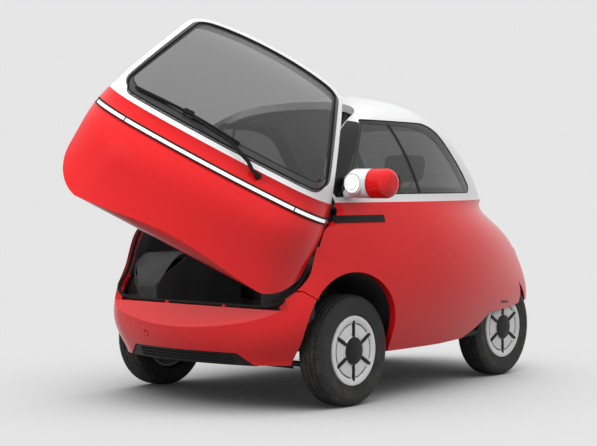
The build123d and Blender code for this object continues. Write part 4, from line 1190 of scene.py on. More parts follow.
def wheel_cover(word, end, side, centre):
    """White ring and panels of a wheel cover, its black spokes, thin black arcs painted as the shade in the gap
    between panels and ring, its cap, and bolts.
    """
    body = f"{end}_{word}_road_wheel"
    face = centre.y + side * 0.071
    out = Vector((0, side, 0))
    place = facing((centre.x, face - side * 0.012, centre.z), out)
    disc = Build()
    disc.lathe([(0.1665, -0.006), (0.1665, 0.003), (0.164, 0.0072), (0.160, 0.0080),
                (0.143, 0.0066), (0.1385, 0.0045), (0.137, 0.0008), (0.136, -0.001),
                (0.150, -0.004)], 96, place, closed=True)
    disc.make(f"{end}_{word}_cover_ring", "wheel_white", body)
    dish = Build()
    low, high, rise = 0.078, 0.1255, 0.0022
    for k in range(SPOKES):
        rows, ns = [], []
        for j in range(17):
            row = []
            for i in range(9):
                r = low + (high - low) * i / 8
                gap = math.degrees(0.0105 / r)
                a = math.radians(60 * k + gap + (60 - 2 * gap) * j / 16)
                swell = rise * (1 - 0.55 * (i / 8) ** 2)
                row.append(place @ polar(r, a, swell))
            rows.append(row)
            ns.append([out] * 9)
        dish.sheet(rows, ns, 0.0008, 0.0035)
    dish.make(f"{end}_{word}_cover_panels", "wheel_white", body, bevel=0.0012)
    # Painted shadow: thin gloss black arcs lie in the gap between the panels and the ring, standing for the shade in
    # that gap.
    slots = Build()
    for k in range(SPOKES):
        rows, ns = [], []
        for j in range(15):
            a = math.radians(60 * k + 9 + 42 * j / 14)
            rows.append([place @ polar(r, a, 0.0004) for r in (0.1275, 0.1300, 0.1325)])
            ns.append([out] * 3)
        slots.sheet(rows, ns, 0.0006, 0.001)
    slots.make(f"{end}_{word}_cover_gap_shadow", "gloss_black", body)
    spokes = Build()
    for k in range(SPOKES):
        a = math.radians(60 * k)
        line = []
        for j in range(11):
            r = 0.060 + 0.086 * j / 10
            line.append(place @ polar(r, a, 0.0032 + 0.0016 * math.sin(math.pi * j / 10)))
        spokes.sweep(line, [out] * 11, rounded_section(0.0152, 0.0034, 0.0026, 3, -0.005))
    spokes.make(f"{end}_{word}_spokes", "black_plastic", body, bevel=0.0012)
    cap = Build().lathe([(0.0, 0.0145), (0.02, 0.0142), (0.040, 0.0130), (0.053, 0.0108),
                         (0.0560, 0.0098), (0.0575, 0.0088), (0.0600, 0.0092), (0.0640, 0.0080),
                         (0.0668, 0.0055), (0.0676, 0.0020), (0.0676, -0.004), (0.0, -0.004)],
                        72, place)
    cap.make(f"{end}_{word}_hub_cap", "black_plastic", body)
    back = facing((centre.x, centre.y - side * 0.030, centre.z), -out)
    bolts = Build()
    for k in range(4):
        a = math.radians(45 + 90 * k)
        nut = facing(back @ polar(0.05, a), -out)
        bolts.lathe([(0.0, 0.0), (0.011, 0.0), (0.011, 0.009), (0.009, 0.012), (0.0, 0.012)],
                    6, nut)
    valve = facing(place @ Vector((0.1, 0.118, 0.0)), out)
    bolts.lathe([(0.0, -0.004), (0.004, -0.004), (0.004, 0.006), (0.0032, 0.008), (0.0, 0.0085)],
                12, valve)
    bolts.make(f"{end}_{word}_bolts", "steel", body)


def wheels():
    """A tyre and a wheel cover at each corner."""
    settings = bpy.context.scene.microcar_tyres
    for end in ("front", "rear"):
        for side, word in SIDES:
            centre = tyre(word, end, side, settings)
            wheel_cover(word, end, side, centre)


# ---- lamps ----

def headlamps():
    """Dome, bezel, two rings and rays of each headlamp in its pod."""
    for _, word in SIDES:
        low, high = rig.box(f"{word}_headlamp")
        centre = (low + high) / 2
        place = facing((high.x - 0.010, centre.y, centre.z), (1, 0, 0))
        dome = Build().lathe([(0.0, 0.0098), (0.012, 0.0094), (0.024, 0.0080), (0.034, 0.0052),
                              (0.0395, 0.0020), (0.0405, -0.002), (0.0405, -0.012),
                              (0.0, -0.012)], 64, place)
        thing = dome.make(f"{word}_lamp_dome", "lamp_glass", "body")
        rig.replaces(thing, f"{word}_headlamp")
        bezel = Build().lathe([(0.0400, -0.014), (0.0400, 0.0030), (0.0418, 0.0052),
                               (0.0445, 0.0056), (0.0465, 0.0040), (0.0475, 0.0010),
                               (0.0500, 0.0004), (0.0525, -0.0020), (0.0540, -0.0060),
                               (0.0540, -0.0240), (0.0500, -0.0240)], 64, place, closed=True)
        bezel.make(f"{word}_lamp_bezel", "white_paint", "body")
        ring = Build().lathe([(0.0462, 0.0042), (0.0468, 0.0050), (0.0482, 0.0030),
                              (0.0478, 0.0000)], 64, place, closed=True)
        ring.make(f"{word}_lamp_ring", "chrome", "body")
        inner = Build().lathe([(0.0268, 0.0076), (0.0276, 0.0090), (0.0296, 0.0086),
                               (0.0304, 0.0066)], 64, place, closed=True)
        inner.make(f"{word}_lamp_inner_ring", "pale_trim", "body", "steel")
        rays = Build()
        for k in range(30):
            a = math.tau * k / 30
            line = [place @ polar(r, a, h)
                    for r, h in ((0.0315, 0.0066), (0.0345, 0.0052), (0.0385, 0.0030))]
            rays.tube(line, 0.0009, 6)
        rays.make(f"{word}_lamp_rays", "pale_trim", "body", "steel")


def squared(v):
    """Pushes a sine or cosine outwards, so that a circle turns into a rounded square."""
    return math.copysign(abs(v) ** 0.62, v)


def pods():
    """Seam, mirror glass and mirror rim of each lamp pod."""
    for side, word in SIDES:
        low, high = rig.box(f"{word}_mirror_cap")
        centre = (low + high) / 2
        inner = low.y if side == 1 else high.y
        seam = facing((centre.x, inner + side * 0.0002, centre.z), (0, side, 0))
        Build().lathe([(0.0690, -0.0012), (0.0706, -0.0012), (0.0706, 0.0012),
                       (0.0690, 0.0012)], 72, seam, closed=True).make(
            f"{word}_pod_seam", "rubber", "body")
        line = []
        steps = 40
        for k in range(steps):
            a = math.tau * k / steps
            line.append((0.040 * squared(math.cos(a)), 0.046 * squared(math.sin(a))))
        mirror_at = facing((centre.x - 0.0615, centre.y - side * 0.006, centre.z), (-1, 0, 0))
        faces = [tuple(range(steps)), tuple(reversed(range(steps, 2 * steps)))]
        faces += [(k, (k + 1) % steps, steps + (k + 1) % steps, steps + k)
                  for k in range(steps)]
        Build().add([(x, y, 0.0095) for x, y in line] + [(x, y, -0.008) for x, y in line],
                    faces, mirror_at).make(f"{word}_mirror_glass", "mirror", "body", bevel=0.0006)
        rim = [mirror_at @ Vector((x * 1.03, y * 1.03, 0.0085)) for x, y in line]
        Build().tube(rim, 0.0026, 8, closed=True).make(
            f"{word}_mirror_rim", "black_plastic", "body")


# ---- front ----

def grille():
    """Upright ribs and two crossing bars over the dark grille."""
    skin = Skin(["bumper_grille"])
    low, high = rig.box("bumper_grille")
    ribs = Build()
    count = 43
    for k in range(count):
        y = -0.296 + 0.592 * k / (count - 1)
        run = found(skin.front, [(y, low.z + 0.010 + (high.z - low.z - 0.022) * j / 6)
                                 for j in range(7)])
        run = [(p, n) for p, n in run if n.x >= 0.3]
        if len(run) > 3:
            ribs.follow(run, rounded_section(0.0046, 0.0046, 0.0018, 2, -0.001))
    ribs.make("grille_ribs", "black_plastic", "body")
    bars = Build()
    for z in (low.z + 0.0235, low.z + 0.038):
        run = found(skin.front, [(-0.30 + 0.6 * k / 40, z) for k in range(41)])
        run = [(p, n) for p, n in run if n.x > 0.3]
        if len(run) > 3:
            bars.follow(run, rounded_section(0.004, 0.0034, 0.001, 2, -0.001))
    bars.make("grille_bars", "gloss_black", "body")


def ledge_details():
    """Two stops on the step under the door, and the tow socket's cap."""
    for side, word in SIDES:
        build = Build()
        place = facing((1.1185, side * 0.19, 0.4718), (0, 0, 1))
        build.lathe([(0.0, -0.001), (0.013, -0.001), (0.013, 0.002), (0.0095, 0.0045),
                     (0.0085, 0.009), (0.006, 0.0118), (0.0, 0.0122)], 24, place)
        build.make(f"{word}_door_stop", "red_paint", "body")
    skin = Skin(["front_bumper"])
    y, z, reach = -0.215, 0.330, 0.030
    right, left = skin.front(y + reach, z)[0], skin.front(y - reach, z)[0]
    above, below = skin.front(y, z + reach)[0], skin.front(y, z - reach)[0]
    normal = (right - left).cross(above - below)
    centre = (right + left + above + below) / 4
    Build().lathe([(0.0, 0.0016), (0.0105, 0.0015), (0.0125, 0.0009), (0.0125, -0.004),
                   (0.0, -0.004)], 40, facing(centre, normal)).make(
        "tow_socket_cap", "red_paint", "body")


def bar_ends():
    """Small bright caps where the door's light strip ends."""
    back = DOOR.inverted()
    reach = max((back @ v.co).y for v in NODES["door_light_strip"].data.vertices) + 0.0042
    bar = Skin(["door_light_bar"], DOOR)
    for side, word in SIDES:
        place = facing(*bar.front(side * reach, 0.888), LEFT)
        Build().block((-0.0036, -0.0066, -0.001), (0.0036, 0.0066, 0.0042), place).make(
            f"{word}_light_strip_end", "chrome", "front_door", turn=DOOR, bevel=0.001)


def side_strip_details():
    """Two fine lines along each side strip."""
    skin = Skin(["side_strips"])
    for side, word in SIDES:
        build = Build()
        for z in (0.8765, 0.8995):
            run = [skin.side(0.506 + 0.312 * k / 24, z, side) for k in range(25)]
            build.follow(run, rounded_section(0.0024, 0.0009, 0.0004, 1, -0.0004))
        build.make(f"{word}_strip_lines", "gloss_black", "body")


# ---- rear ----

def rear_details():
    """Lamp segments, hatch button, plate holder, reflectors and side markers."""
    skin = Skin(["rear_light_bar"])
    low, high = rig.box("rear_light_bar")
    lines = Build()
    for z in (low.z + 0.009, high.z - 0.009):
        run = found(skin.rear, [(-0.40 + 0.80 * k / 48, z) for k in range(49)])
        lines.follow(run, rounded_section(0.0022, 0.001, 0.0005, 1, -0.0005))
    for k in range(33):
        y = -0.40 + 0.80 * k / 32
        run = found(skin.rear, [(y, low.z + 0.011 + (high.z - low.z - 0.022) * j / 3)
                                for j in range(4)])
        if len(run) > 2:
            lines.follow(run, rounded_section(0.0014, 0.0008, 0.0004, 1, -0.0005))
    lines.make("rear_lamp_lines", "chrome", "rear_hatch")
    place = facing(*Skin(["hatch_panel"]).rear(0.0, 0.60), LEFT)
    Build().lathe([(0.0, 0.0035), (0.012, 0.0030), (0.0145, 0.0008), (0.0145, -0.003),
                   (0.0, -0.003)], 32, place).make("hatch_button", "black_plastic", "rear_hatch")
    Build().lathe([(0.0160, -0.001), (0.0160, 0.0012), (0.0175, 0.0020), (0.0190, 0.0012),
                   (0.0190, -0.001)], 40, place, closed=True).make(
        "hatch_button_ring", "chrome", "rear_hatch")
    tail = Skin(["tail_panel"])
    grid, ns = [], []
    for k in range(21):
        y = -0.26 + 0.52 * k / 20
        row = [tail.rear(y, 0.412 + 0.092 * j / 5) for j in range(6)]
        grid.append([q for q, _ in row])
        ns.append([m for _, m in row])
    Build().sheet(grid, ns, 0.0012, 0.0004).make("plate_backing", "black_plastic", "body")
    frame_line = ([(-0.258 + 0.516 * k / 20, 0.4135) for k in range(21)]
                  + [(0.258, 0.4135 + 0.0895 * k / 6) for k in range(1, 6)]
                  + [(0.258 - 0.516 * k / 20, 0.503) for k in range(21)]
                  + [(-0.258, 0.503 - 0.0895 * k / 6) for k in range(1, 6)])
    run = [tail.rear(y, z) for y, z in frame_line]
    Build().follow(run, rounded_section(0.006, 0.004, 0.0015, 2, -0.0004), closed=True).make(
        "plate_frame", "black_plastic", "body")
    for side, word in SIDES:
        bolt = Build()
        q, m = tail.rear(side * 0.15 + 0.006, 0.460)
        bolt.lathe([(0.0, 0.0036), (0.0045, 0.0033), (0.0062, 0.0014), (0.0062, -0.0004),
                    (0.0, -0.0004)], 20, facing((q.x, side * 0.15, 0.46), m))
        bolt.make(f"{word}_plate_bolt", "steel", "body")
        # Painted glow: the reflectors take the lit red lamp finish, so they glow though they are no lamps.
        q, m = tail.rear(side * 0.34, 0.462)
        Build().lathe([(0.0, 0.0045), (0.018, 0.0042), (0.0225, 0.0022), (0.0235, -0.001),
                       (0.0, -0.001)], 40, facing(q, m)).make(
            f"{word}_rear_reflector", "lamp_red", "body")
        side_skin = Skin([f"{word}_body_side"])
        row = [side_skin.side(-0.575 - 0.10 * k / 8, 0.418 - 0.006 * k / 8, side)
               for k in range(9)]
        Build().follow(row, rounded_section(0.012, 0.0016, 0.0006, 2, -0.0006)).make(
            f"{word}_rear_side_marker", "black_plastic", "body")


# ---- inside ----

def even_out(work, factor):
    """Evens out a mesh being worked on."""
    bmesh.ops.smooth_vert(work, verts=work.verts, factor=factor, use_axis_x=True,
                          use_axis_y=True, use_axis_z=True)


def foam(name, node, cap, seams, fill, voxel):
    """A padded piece swollen by a short cloth simulation, then sewn along seams.

    cap is how far it may swell, and seams(point, normal) how deep it is sewn in."""
    mesh = NODES[node].data.copy()
    mesh.name = name
    thing = bpy.data.objects.new(name, mesh)
    bpy.context.scene.collection.objects.link(thing)
    bpy.context.view_layer.objects.active = thing
    shape = thing.modifiers.new("remesh", "REMESH")
    shape.mode, shape.voxel_size = "VOXEL", voxel
    graph = bpy.context.evaluated_depsgraph_get()
    solid = bpy.data.meshes.new_from_object(thing.evaluated_get(graph))
    thing.modifiers.clear()
    thing.data = solid
    bpy.data.meshes.remove(mesh)
    work = bmesh.new()
    work.from_mesh(solid)
    work.normal_update()
    for _ in range(3):
        even_out(work, 0.5)
    work.normal_update()
    for v in work.verts:
        v.co -= v.normal * (cap * 0.55)
    work.to_mesh(solid)
    work.free()
    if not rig.quick():
        last = 16
        sim = thing.modifiers.new("swell", "CLOTH")
        sim.settings.quality = 4
        sim.settings.use_pressure = True
        sim.settings.uniform_pressure_force = FOAM_PRESSURE
        sim.settings.effector_weights.gravity = 0.0
        sim.settings.tension_stiffness = 12
        sim.collision_settings.use_collision = False
        sim.point_cache.frame_start, sim.point_cache.frame_end = 1, last
        for step in range(1, last + 1):
            bpy.context.scene.frame_set(step)
        graph = bpy.context.evaluated_depsgraph_get()
        swollen = bpy.data.meshes.new_from_object(thing.evaluated_get(graph))
        thing.modifiers.clear()
        bpy.context.scene.frame_set(1)
        for v, w in zip(solid.vertices, swollen.vertices):
            move = w.co - v.co
            if move.length > cap:
                move.length = cap
            v.co += move
        bpy.data.meshes.remove(swollen)
    work = bmesh.new()
    work.from_mesh(solid)
    work.normal_update()
    for v in work.verts:
        v.co -= v.normal * seams(v.co, v.normal)
    even_out(work, 0.4)
    work.to_mesh(solid)
    work.free()
    solid.materials.clear()
    solid.materials.append(made_of("seat_fabric"))
    solid.shade_smooth()
    finer = thing.modifiers.new("finer", "SUBSURF")
    finer.levels = finer.render_levels = 1
    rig.ride(thing, "body")
    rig.slot(thing, "seat_fabric")
    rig.padded(thing, fill)
    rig.replaces(thing, node)


def groove(distance, width, depth):
    """Depth of a sewn channel at a distance from its line."""
    share = abs(distance) / width
    return depth * (1 - share) ** 2 if share < 1 else 0.0


def seats():
    """Bench, back and headrests with their seams, posts, piping and belt buckles."""
    low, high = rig.box("seat_cushion")

    def cushion(p, n):
        across = abs(p.y)
        top = max(0.0, n.z)
        cut = groove(p.y, 0.014, 0.012)
        cut += groove(across - 0.245 - 0.19, 0.010, 0.007)
        if 0.06 < across < 0.43:
            for x in (low.x + 0.14, low.x + 0.22, low.x + 0.30, low.x + 0.38):
                cut += groove(p.x - x, 0.011, 0.006) * top
            cut += groove(across - 0.062, 0.010, 0.005) * top
        return cut + 0.004 * top * min(1.0, abs(p.x - (low.x + high.x) / 2) / 0.2) ** 2

    foam("bench_cushion", "seat_cushion", 0.012, cushion, 0.75, 0.0115)
    foot_of_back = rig.box("seat_back")[0].z

    def back(p, n):
        across = abs(p.y)
        front = max(0.0, n.x)
        cut = groove(p.y, 0.014, 0.012)
        cut += groove(across - 0.43, 0.010, 0.007)
        if 0.06 < across < 0.43:
            for k in range(1, 6):
                z = foot_of_back + 0.08 * k
                cut += groove(p.z - z, 0.011, 0.006) * front
        return cut

    foam("bench_back", "seat_back", 0.012, back, 0.7, 0.0115)
    low_h, high_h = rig.box("headrests")
    middle = (low_h.z + high_h.z) / 2

    def rest(p, n):
        return groove(p.z - middle, 0.009, 0.004) * max(0.0, n.x) + groove(
            p.x - (low_h.x + high_h.x) / 2, 0.007, 0.003) * max(0.0, abs(n.y))

    foam("padded_headrests", "headrests", 0.008, rest, 0.8, 0.0075)
    posts = Build()
    for side, _ in SIDES:
        for offset in (-0.055, 0.055):
            y = side * 0.245 + offset
            x = (low_h.x + high_h.x) / 2
            top = Vector((x, y, low_h.z + 0.03))
            posts.tube([top + Vector((0.03 * k, 0, -0.032 * k)) for k in range(4)],
                       0.0055, 12)
    posts.make("headrest_posts", "chrome", "body")
    piping = Build()
    for side, _ in SIDES:
        line = []
        for k in range(33):
            line.append(Vector((high.x - 0.008, side * (0.05 + 0.40 * k / 32),
                                high.z - 0.024 + 0.002 * math.sin(math.pi * k / 32))))
        piping.tube(line, 0.0032, 8)
    piping.make("cushion_piping", "pale_trim", "body", "seat_fabric")
    belts = Build()
    for side, _ in SIDES:
        for y in (0.17, 0.33):
            base = Vector((low.x + 0.045, side * y, high.z - 0.006))
            line = [base + Vector((0.012 * k, 0,
                                   0.014 * math.sin(min(1, k / 4) * 1.4) + 0.004 * k))
                    for k in range(7)]
            belts.sweep(line, [Vector((-0.3, 0, 1)).normalized()] * 7,
                        [(-0.011, -0.003), (0.011, -0.003), (0.011, 0.003), (-0.011, 0.003)])
            belts.block((-0.013, -0.008, -0.004), (0.013, 0.008, 0.03),
                        facing(line[-1], (0.75, 0, 0.66), LEFT))
    belts.make("belt_buckles", "black_plastic", "body", bevel=0.0015)


def steering():
    """Rim and spokes of the steering wheel, and the column's shroud, stalks and boot."""
    turn = joint("steering_wheel_turn")
    centre, axis = Vector(turn["pos_m"]), Vector(turn["axis"])
    place = facing(centre, axis, LEFT)
    back = place.inverted()
    points = [back @ v.co for v in NODES["steering_wheel"].data.vertices]
    rim_heights = [p.z for p in points if p.xy.length > 0.165]
    level = (max(rim_heights) + min(rim_heights)) / 2
    radius, steps = 0.175, 96
    rim = [place @ polar(radius, math.tau * k / steps, level) for k in range(steps)]
    thing = Build().sweep(rim, [axis] * steps, round_section(0.0128, 14), closed=True).make(
        "steering_rim", "soft_trim", "steering_wheel")
    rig.replaces(thing, "steering_wheel")
    spokes = Build()
    for angle in (0, 180, 270):
        line = [place @ polar(r, math.radians(angle), level * (r / radius))
                for r in (0.04, 0.075, 0.11, 0.14, 0.170)]
        spokes.sweep(line, [axis] * 5, rounded_section(0.034, 0.012, 0.004, 3, -0.006),
                     scale=lambda s: 1.15 - 0.35 * s)
    spokes.lathe([(0.0, 0.016), (0.030, 0.0145), (0.046, 0.010), (0.054, 0.002), (0.056, -0.012),
                  (0.034, -0.020), (0.0, -0.020)], 40, place)
    spokes.make("steering_spokes", "black_plastic", "steering_wheel", bevel=0.0012)
    foot = Vector((0.860, 0.225, 0.300))
    top = Vector((0.262, 0.225, 0.800))
    along = (foot - top).normalized()
    shroud_at = facing(top + along * 0.055, along, LEFT)
    shroud = Build().lathe([(0.022, -0.022), (0.036, -0.020), (0.043, -0.008), (0.045, 0.03),
                            (0.041, 0.12), (0.031, 0.17), (0.022, 0.178)], 32, shroud_at)
    shroud.make("column_shroud", "black_plastic", "body")
    stalks = Build()
    for side, _ in SIDES:
        base = shroud_at.translation
        out = Vector((0.0, side, 0.12)).normalized()
        stalks.tube([base + out * (0.035 + 0.028 * k) + along * 0.012 for k in range(5)],
                    0.0052, 12, scale=lambda s: 1.0 + 0.5 * s)
    stalks.make("column_stalks", "black_plastic", "body")
    boot = Build().lathe([(0.021, 0.0), (0.040, 0.0), (0.038, 0.012), (0.033, 0.016),
                          (0.034, 0.026), (0.028, 0.031), (0.0285, 0.041), (0.021, 0.048)], 32,
                         facing(foot + Vector((-0.014, 0, 0.012)), -along))
    boot.make("column_boot", "rubber", "body")


def box_top(x):
    """Height of the box over a front wheelhouse, which falls towards the door."""
    return 0.695 - 0.16 * max(0.0, min(1.0, (x - 0.86) / 0.18)) ** 1.5


def trim_foot(x):
    """Lower edge of the side trim, which clears the front wheelhouse."""
    if x < 0.415:
        return 0.29 + 0.5 * max(0.0, -0.15 - x)
    arch = 0.318 ** 2 - (x - ARCH_X) ** 2
    return max(0.50, ARCH_Z + math.sqrt(arch)) if arch > 0 else 0.50


def side_trim(side, word, skin, door_skin):
    """Covers the inside of a body side, up to the shut door."""
    grid, ns = [], []
    for k in range(49):
        along = -0.42 + 1.48 * k / 48
        row, nrow = [], []
        for j in range(19):
            x = along
            for _ in range(2):
                z = trim_foot(x) + (BELT_Z - trim_foot(x)) * j / 18
                if along > 0.80:
                    corner = min(1.0, max(0.0, (0.655 - z) / 0.1755))
                    y = 0.423 + 0.173 * math.sqrt(1 - corner * corner)
                    hit, n = door_skin.front(y, min(z, 0.93))
                    end = hit.x - 0.046 / max(n.x, 0.4)
                    x = 0.80 + (along - 0.80) * (min(end, 1.06) - 0.80) / 0.26
            try:
                p, n = skin.inside(x, z, side)
            except RuntimeError:
                p, n = grid[-1][j], ns[-1][j]
            if n.y * side > 0:
                n = -n
            row.append(p)
            nrow.append(n)
        grid.append(row)
        ns.append(nrow)
    Build().sheet(grid, ns, 0.006, 0.001).make(
        f"{word}_side_trim", "soft_trim", "body", bevel=0.002)


def wheel_box(side, word, skin):
    """Thin wall and shelf over a front wheelhouse."""
    foot, wall = 0.2735, 0.345      # height of its lower edge, and y of its inner wall
    plan = [(0.940, 0.598), (0.988, 0.556), (1.030, 0.474), (1.044, 0.383), (1.036, 0.352),
            (0.990, wall), (0.80, wall), (0.60, wall), (0.415, wall)]
    grid = [[Vector((x, side * y, foot + (box_top(x) - foot) * j / 8)) for j in range(9)]
            for x, y in plan]
    along = [(Vector(b) - Vector(a)).normalized() for a, b in zip(plan, plan[1:])]
    along.append(along[-1])
    ns = [[Vector((-d.y, side * d.x, 0.0))] * 9 for d in along]
    box = Build().sheet(grid, ns, 0.003, 0.003)
    shelf = []
    for k in range(25):
        x = 0.415 + 0.625 * k / 24
        inner = wall if x < 1.0 else wall + (x - 1.0) * 0.5
        outer = abs(skin.inside(min(x, 0.90), 0.69, side)[0].y) - 0.006
        outer = min(outer, 0.598 - max(0.0, x - 0.940) * 1.25)
        shelf.append([Vector((x, side * (inner + (outer - inner) * j / 8), box_top(x)))
                      for j in range(9)])
    box.sheet(shelf, [[UP] * 9] * 25, 0.003, 0.003)
    box.make(f"{word}_wheel_box", "soft_trim", "body")


def arch_liner(side, word):
    """Black lining of a front wheel arch."""
    skin = Skin([f"{word}_body_side", "front_bumper"])
    middle = Vector((ARCH_X, 0, ARCH_Z))
    grid, ns = [], []
    for k in range(29):
        a = math.radians(-27 + 150 * k / 28)
        out = Vector((math.cos(a), 0, math.sin(a)))
        low, probe = middle + out * 0.3195, middle + out * 0.345
        try:
            skin_y = abs(skin.side(probe.x, max(probe.z, 0.260), side)[0].y)
        except RuntimeError:
            skin_y = 0.57
        reach = min(skin_y, 0.655) - 0.009
        grid.append([low + Vector((0, side * (0.376 + (reach - 0.376) * j / 4), 0))
                     for j in range(5)])
        ns.append([-out] * 5)
    Build().sheet(grid, ns, 0.0015, 0.0015).make(f"{word}_arch_liner", "black_plastic", "body")


def floor_mat():
    """Ribbed mat between the wheel boxes."""
    grid = [[Vector((0.36 + 0.68 * k / 40, -0.335 + 0.67 * j / 30,
                     0.2722 + (0.0018 if k % 2 else 0.0))) for j in range(31)]
            for k in range(41)]
    Build().sheet(grid, [[UP] * 31] * 41, 0.003, 0.0008).make("floor_mat", "dark_floor", "body")


def pedals():
    """Brake and accelerator, with ribbed pads."""
    build = Build()
    for y, wide in ((0.285, 0.062), (0.165, 0.046)):
        base = Vector((0.995, y, 0.2722))
        pad = Vector((0.918, y, 0.405))
        build.tube([base, base.lerp(pad, 0.4) + Vector((0.016, 0, 0)),
                    base.lerp(pad, 0.75) + Vector((0.014, 0, 0)), pad], 0.007, 10)
        place = facing(pad, Vector((-0.87, 0, 0.49)), LEFT)
        build.block((-wide / 2, -0.05, -0.004), (wide / 2, 0.03, 0.006), place)
        for k in range(5):
            build.block((-wide / 2 + 0.005, -0.044 + 0.015 * k, 0.005),
                        (wide / 2 - 0.005, -0.038 + 0.015 * k, 0.009), place)
    build.make("pedals", "rubber", "body", bevel=0.0015)


def cabin_trim():
    """Side trim, boxes over the front wheels and arch liners, then floor mat and pedals."""
    door_skin = Skin(["door_panel", "door_window_frame"], DOOR)
    for side, word in SIDES:
        skin = Skin([f"{word}_body_side"])
        side_trim(side, word, skin, door_skin)
        wheel_box(side, word, skin)
        arch_liner(side, word)
    floor_mat()
    pedals()


def door_inside():
    """Door card, cross bar with its display, and vents, on the inside of the door."""
    skin = Skin(["door_panel"], DOOR)
    grid, ns = [], []
    for k in range(41):
        y = -0.53 + 1.06 * k / 40
        row, nrow = [], []
        for j in range(17):
            z = 0.60 + 0.33 * j / 16
            p, n = skin.cast((0.2, y, z), (1, 0, 0))
            row.append(p)
            nrow.append(n if n.x < 0 else -n)
        grid.append(row)
        ns.append(nrow)
    Build().sheet(grid, ns, 0.007, 0.001).make(
        "door_card", "soft_trim", "front_door", turn=DOOR, bevel=0.002)
    bar, normals = [], []
    for k in range(41):
        y = -0.50 + 1.00 * k / 40
        p, n = skin.cast((0.2, y, 0.905), (1, 0, 0))
        reach = 0.052 - 0.036 * abs(y / 0.50) ** 6
        bar.append(Vector((p.x - reach, y, 0.905)))
        normals.append(UP)
    section = [(-0.030, -0.022), (0.030, -0.022), (0.038, -0.008), (0.034, 0.014), (0.0, 0.024),
               (-0.030, 0.018), (-0.038, 0.0)]
    Build().sweep(bar, normals, section).make(
        "door_cross_bar", "pale_trim", "front_door", "black_plastic", turn=DOOR, subdivide=1)
    centre = bar[29]
    screen_at = facing(centre + Vector((-0.040, 0, 0.047)), Vector((-0.93, 0, 0.36)),
                       LEFT)
    Build().block((-0.095, -0.046, -0.020), (0.095, 0.046, 0.004), screen_at).make(
        "driver_display", "black_plastic", "front_door", turn=DOOR, bevel=0.006, segments=3)
    Build().block((-0.086, -0.038, 0.002), (0.086, 0.038, 0.0052), screen_at).make(
        "display_glass", "gloss_black", "front_door", turn=DOOR, bevel=0.0015)
    vents = Build()
    for y in (-0.36, -0.12):
        p = next(b for b in bar if b.y >= y)
        at = facing(p + Vector((-0.036, 0, 0.004)), Vector((-1, 0, 0.05)), LEFT)
        vents.lathe([(0.020, -0.010), (0.020, 0.004), (0.0225, 0.0065), (0.026, 0.005),
                     (0.0265, -0.010)], 36, at, closed=True)
        for k in range(-2, 3):
            half = math.sqrt(max(0.0, 0.0196 ** 2 - (0.0072 * k) ** 2))
            vents.block((-half, 0.0072 * k - 0.0012, -0.008),
                        (half, 0.0072 * k + 0.0012, 0.002), at)
    vents.make("door_vents", "gloss_black", "front_door", turn=DOOR)


def underbody():
    """Springs and dampers at each corner, and brake discs at the front."""
    for side, word in SIDES:
        springs = Build()
        for x, y, low, high in ((AXLE_X, 0.458, 0.345, 0.560), (-AXLE_X, 0.35, 0.300, 0.425)):
            turns, radius = 5, 0.036
            line = [Vector((x + radius * math.cos(math.tau * turns * k / 100),
                            side * y + radius * math.sin(math.tau * turns * k / 100),
                            low + (high - low) * k / 100)) for k in range(101)]
            springs.tube(line, 0.0050, 8)
        springs.make(f"{word}_springs", "dark_steel", "body")
        dampers = Build()
        for x, y, low, high in ((AXLE_X, 0.458, 0.325, 0.575), (-AXLE_X, 0.35, 0.285, 0.435)):
            place = facing((x, side * y, low), (0, 0, 1))
            length = high - low
            dampers.lathe([(0.0, 0.0), (0.020, 0.0), (0.021, 0.006), (0.021, length * 0.5),
                           (0.0085, length * 0.52), (0.0085, length - 0.01),
                           (0.026, length - 0.008), (0.026, length), (0.0, length)], 24, place)
        dampers.make(f"{word}_dampers", "steel", "body")
        disc_at = facing((AXLE_X, side * 0.610, AXLE_Z), (0, side, 0))
        discs = Build().lathe([(0.055, -0.004), (0.090, -0.004), (0.090, -0.0015),
                               (0.080, -0.0015), (0.080, 0.0015), (0.090, 0.0015),
                               (0.090, 0.004), (0.055, 0.004)], 72, disc_at, closed=True)
        discs.make(f"front_{word}_brake_disc", "steel", f"front_{word}_road_wheel")


# ---------------------------------------------------------------- studio

def direct_ray(net):
    """One where a ray comes straight from the eye, a mirror or a pane."""
    path = net.node("ShaderNodeLightPath").outputs
    seen = net.math("MAXIMUM", path["Is Camera Ray"], path["Is Glossy Ray"])
    return net.math("MAXIMUM", seen, path["Is Transmission Ray"])


def floor_material(backdrop):
    """A floor of the backdrop's tone with the car's soft shadow painted on: seen directly, it glows in that tone,
    darkened by ambient occlusion near the car.
    """
    made, net, shader, _ = new_material("studio_floor")
    out = made.node_tree.nodes["Material Output"]
    set_inputs(net, shader, {"Base Color": (0.13, 0.13, 0.132, 1.0), "Roughness": 0.7,
                             "Specular IOR Level": 0.15})
    # Painted shadow: two ambient occlusion lookups darken the floor's glow round the car; the wide one leans, so its
    # shade spreads further to one side.
    painted_shadow_lean = net.node("ShaderNodeCombineXYZ", X=-0.36, Y=0.30, Z=0.88)
    near = net.node("ShaderNodeAmbientOcclusion", {"samples": 24}, Distance=1.5)
    wide = net.node("ShaderNodeAmbientOcclusion", {"samples": 24}, Distance=3.4)
    net.set(wide.inputs["Normal"], painted_shadow_lean.outputs[0])
    painted_unshadowed_share = net.math("MULTIPLY", net.ramp(near.outputs["AO"], -0.05, 0.98),
                          net.ramp(wide.outputs["AO"], -0.55, 0.93))
    # The glow seen directly: the backdrop's tone, darkened to near black where the painted shadow is full.
    tone = net.blend(painted_unshadowed_share, (0.012, 0.012, 0.013, 1.0),
                     (backdrop, backdrop, backdrop, 1.0))
    plain = net.node("ShaderNodeEmission", Strength=1.0)
    net.set(plain.inputs["Color"], tone)
    mix = net.node("ShaderNodeMixShader")
    net.set(mix.inputs[0], direct_ray(net))
    net.set(mix.inputs[1], shader.outputs[0])
    net.set(mix.inputs[2], plain.outputs[0])
    net.set(out.inputs["Surface"], mix.outputs[0])
    return made


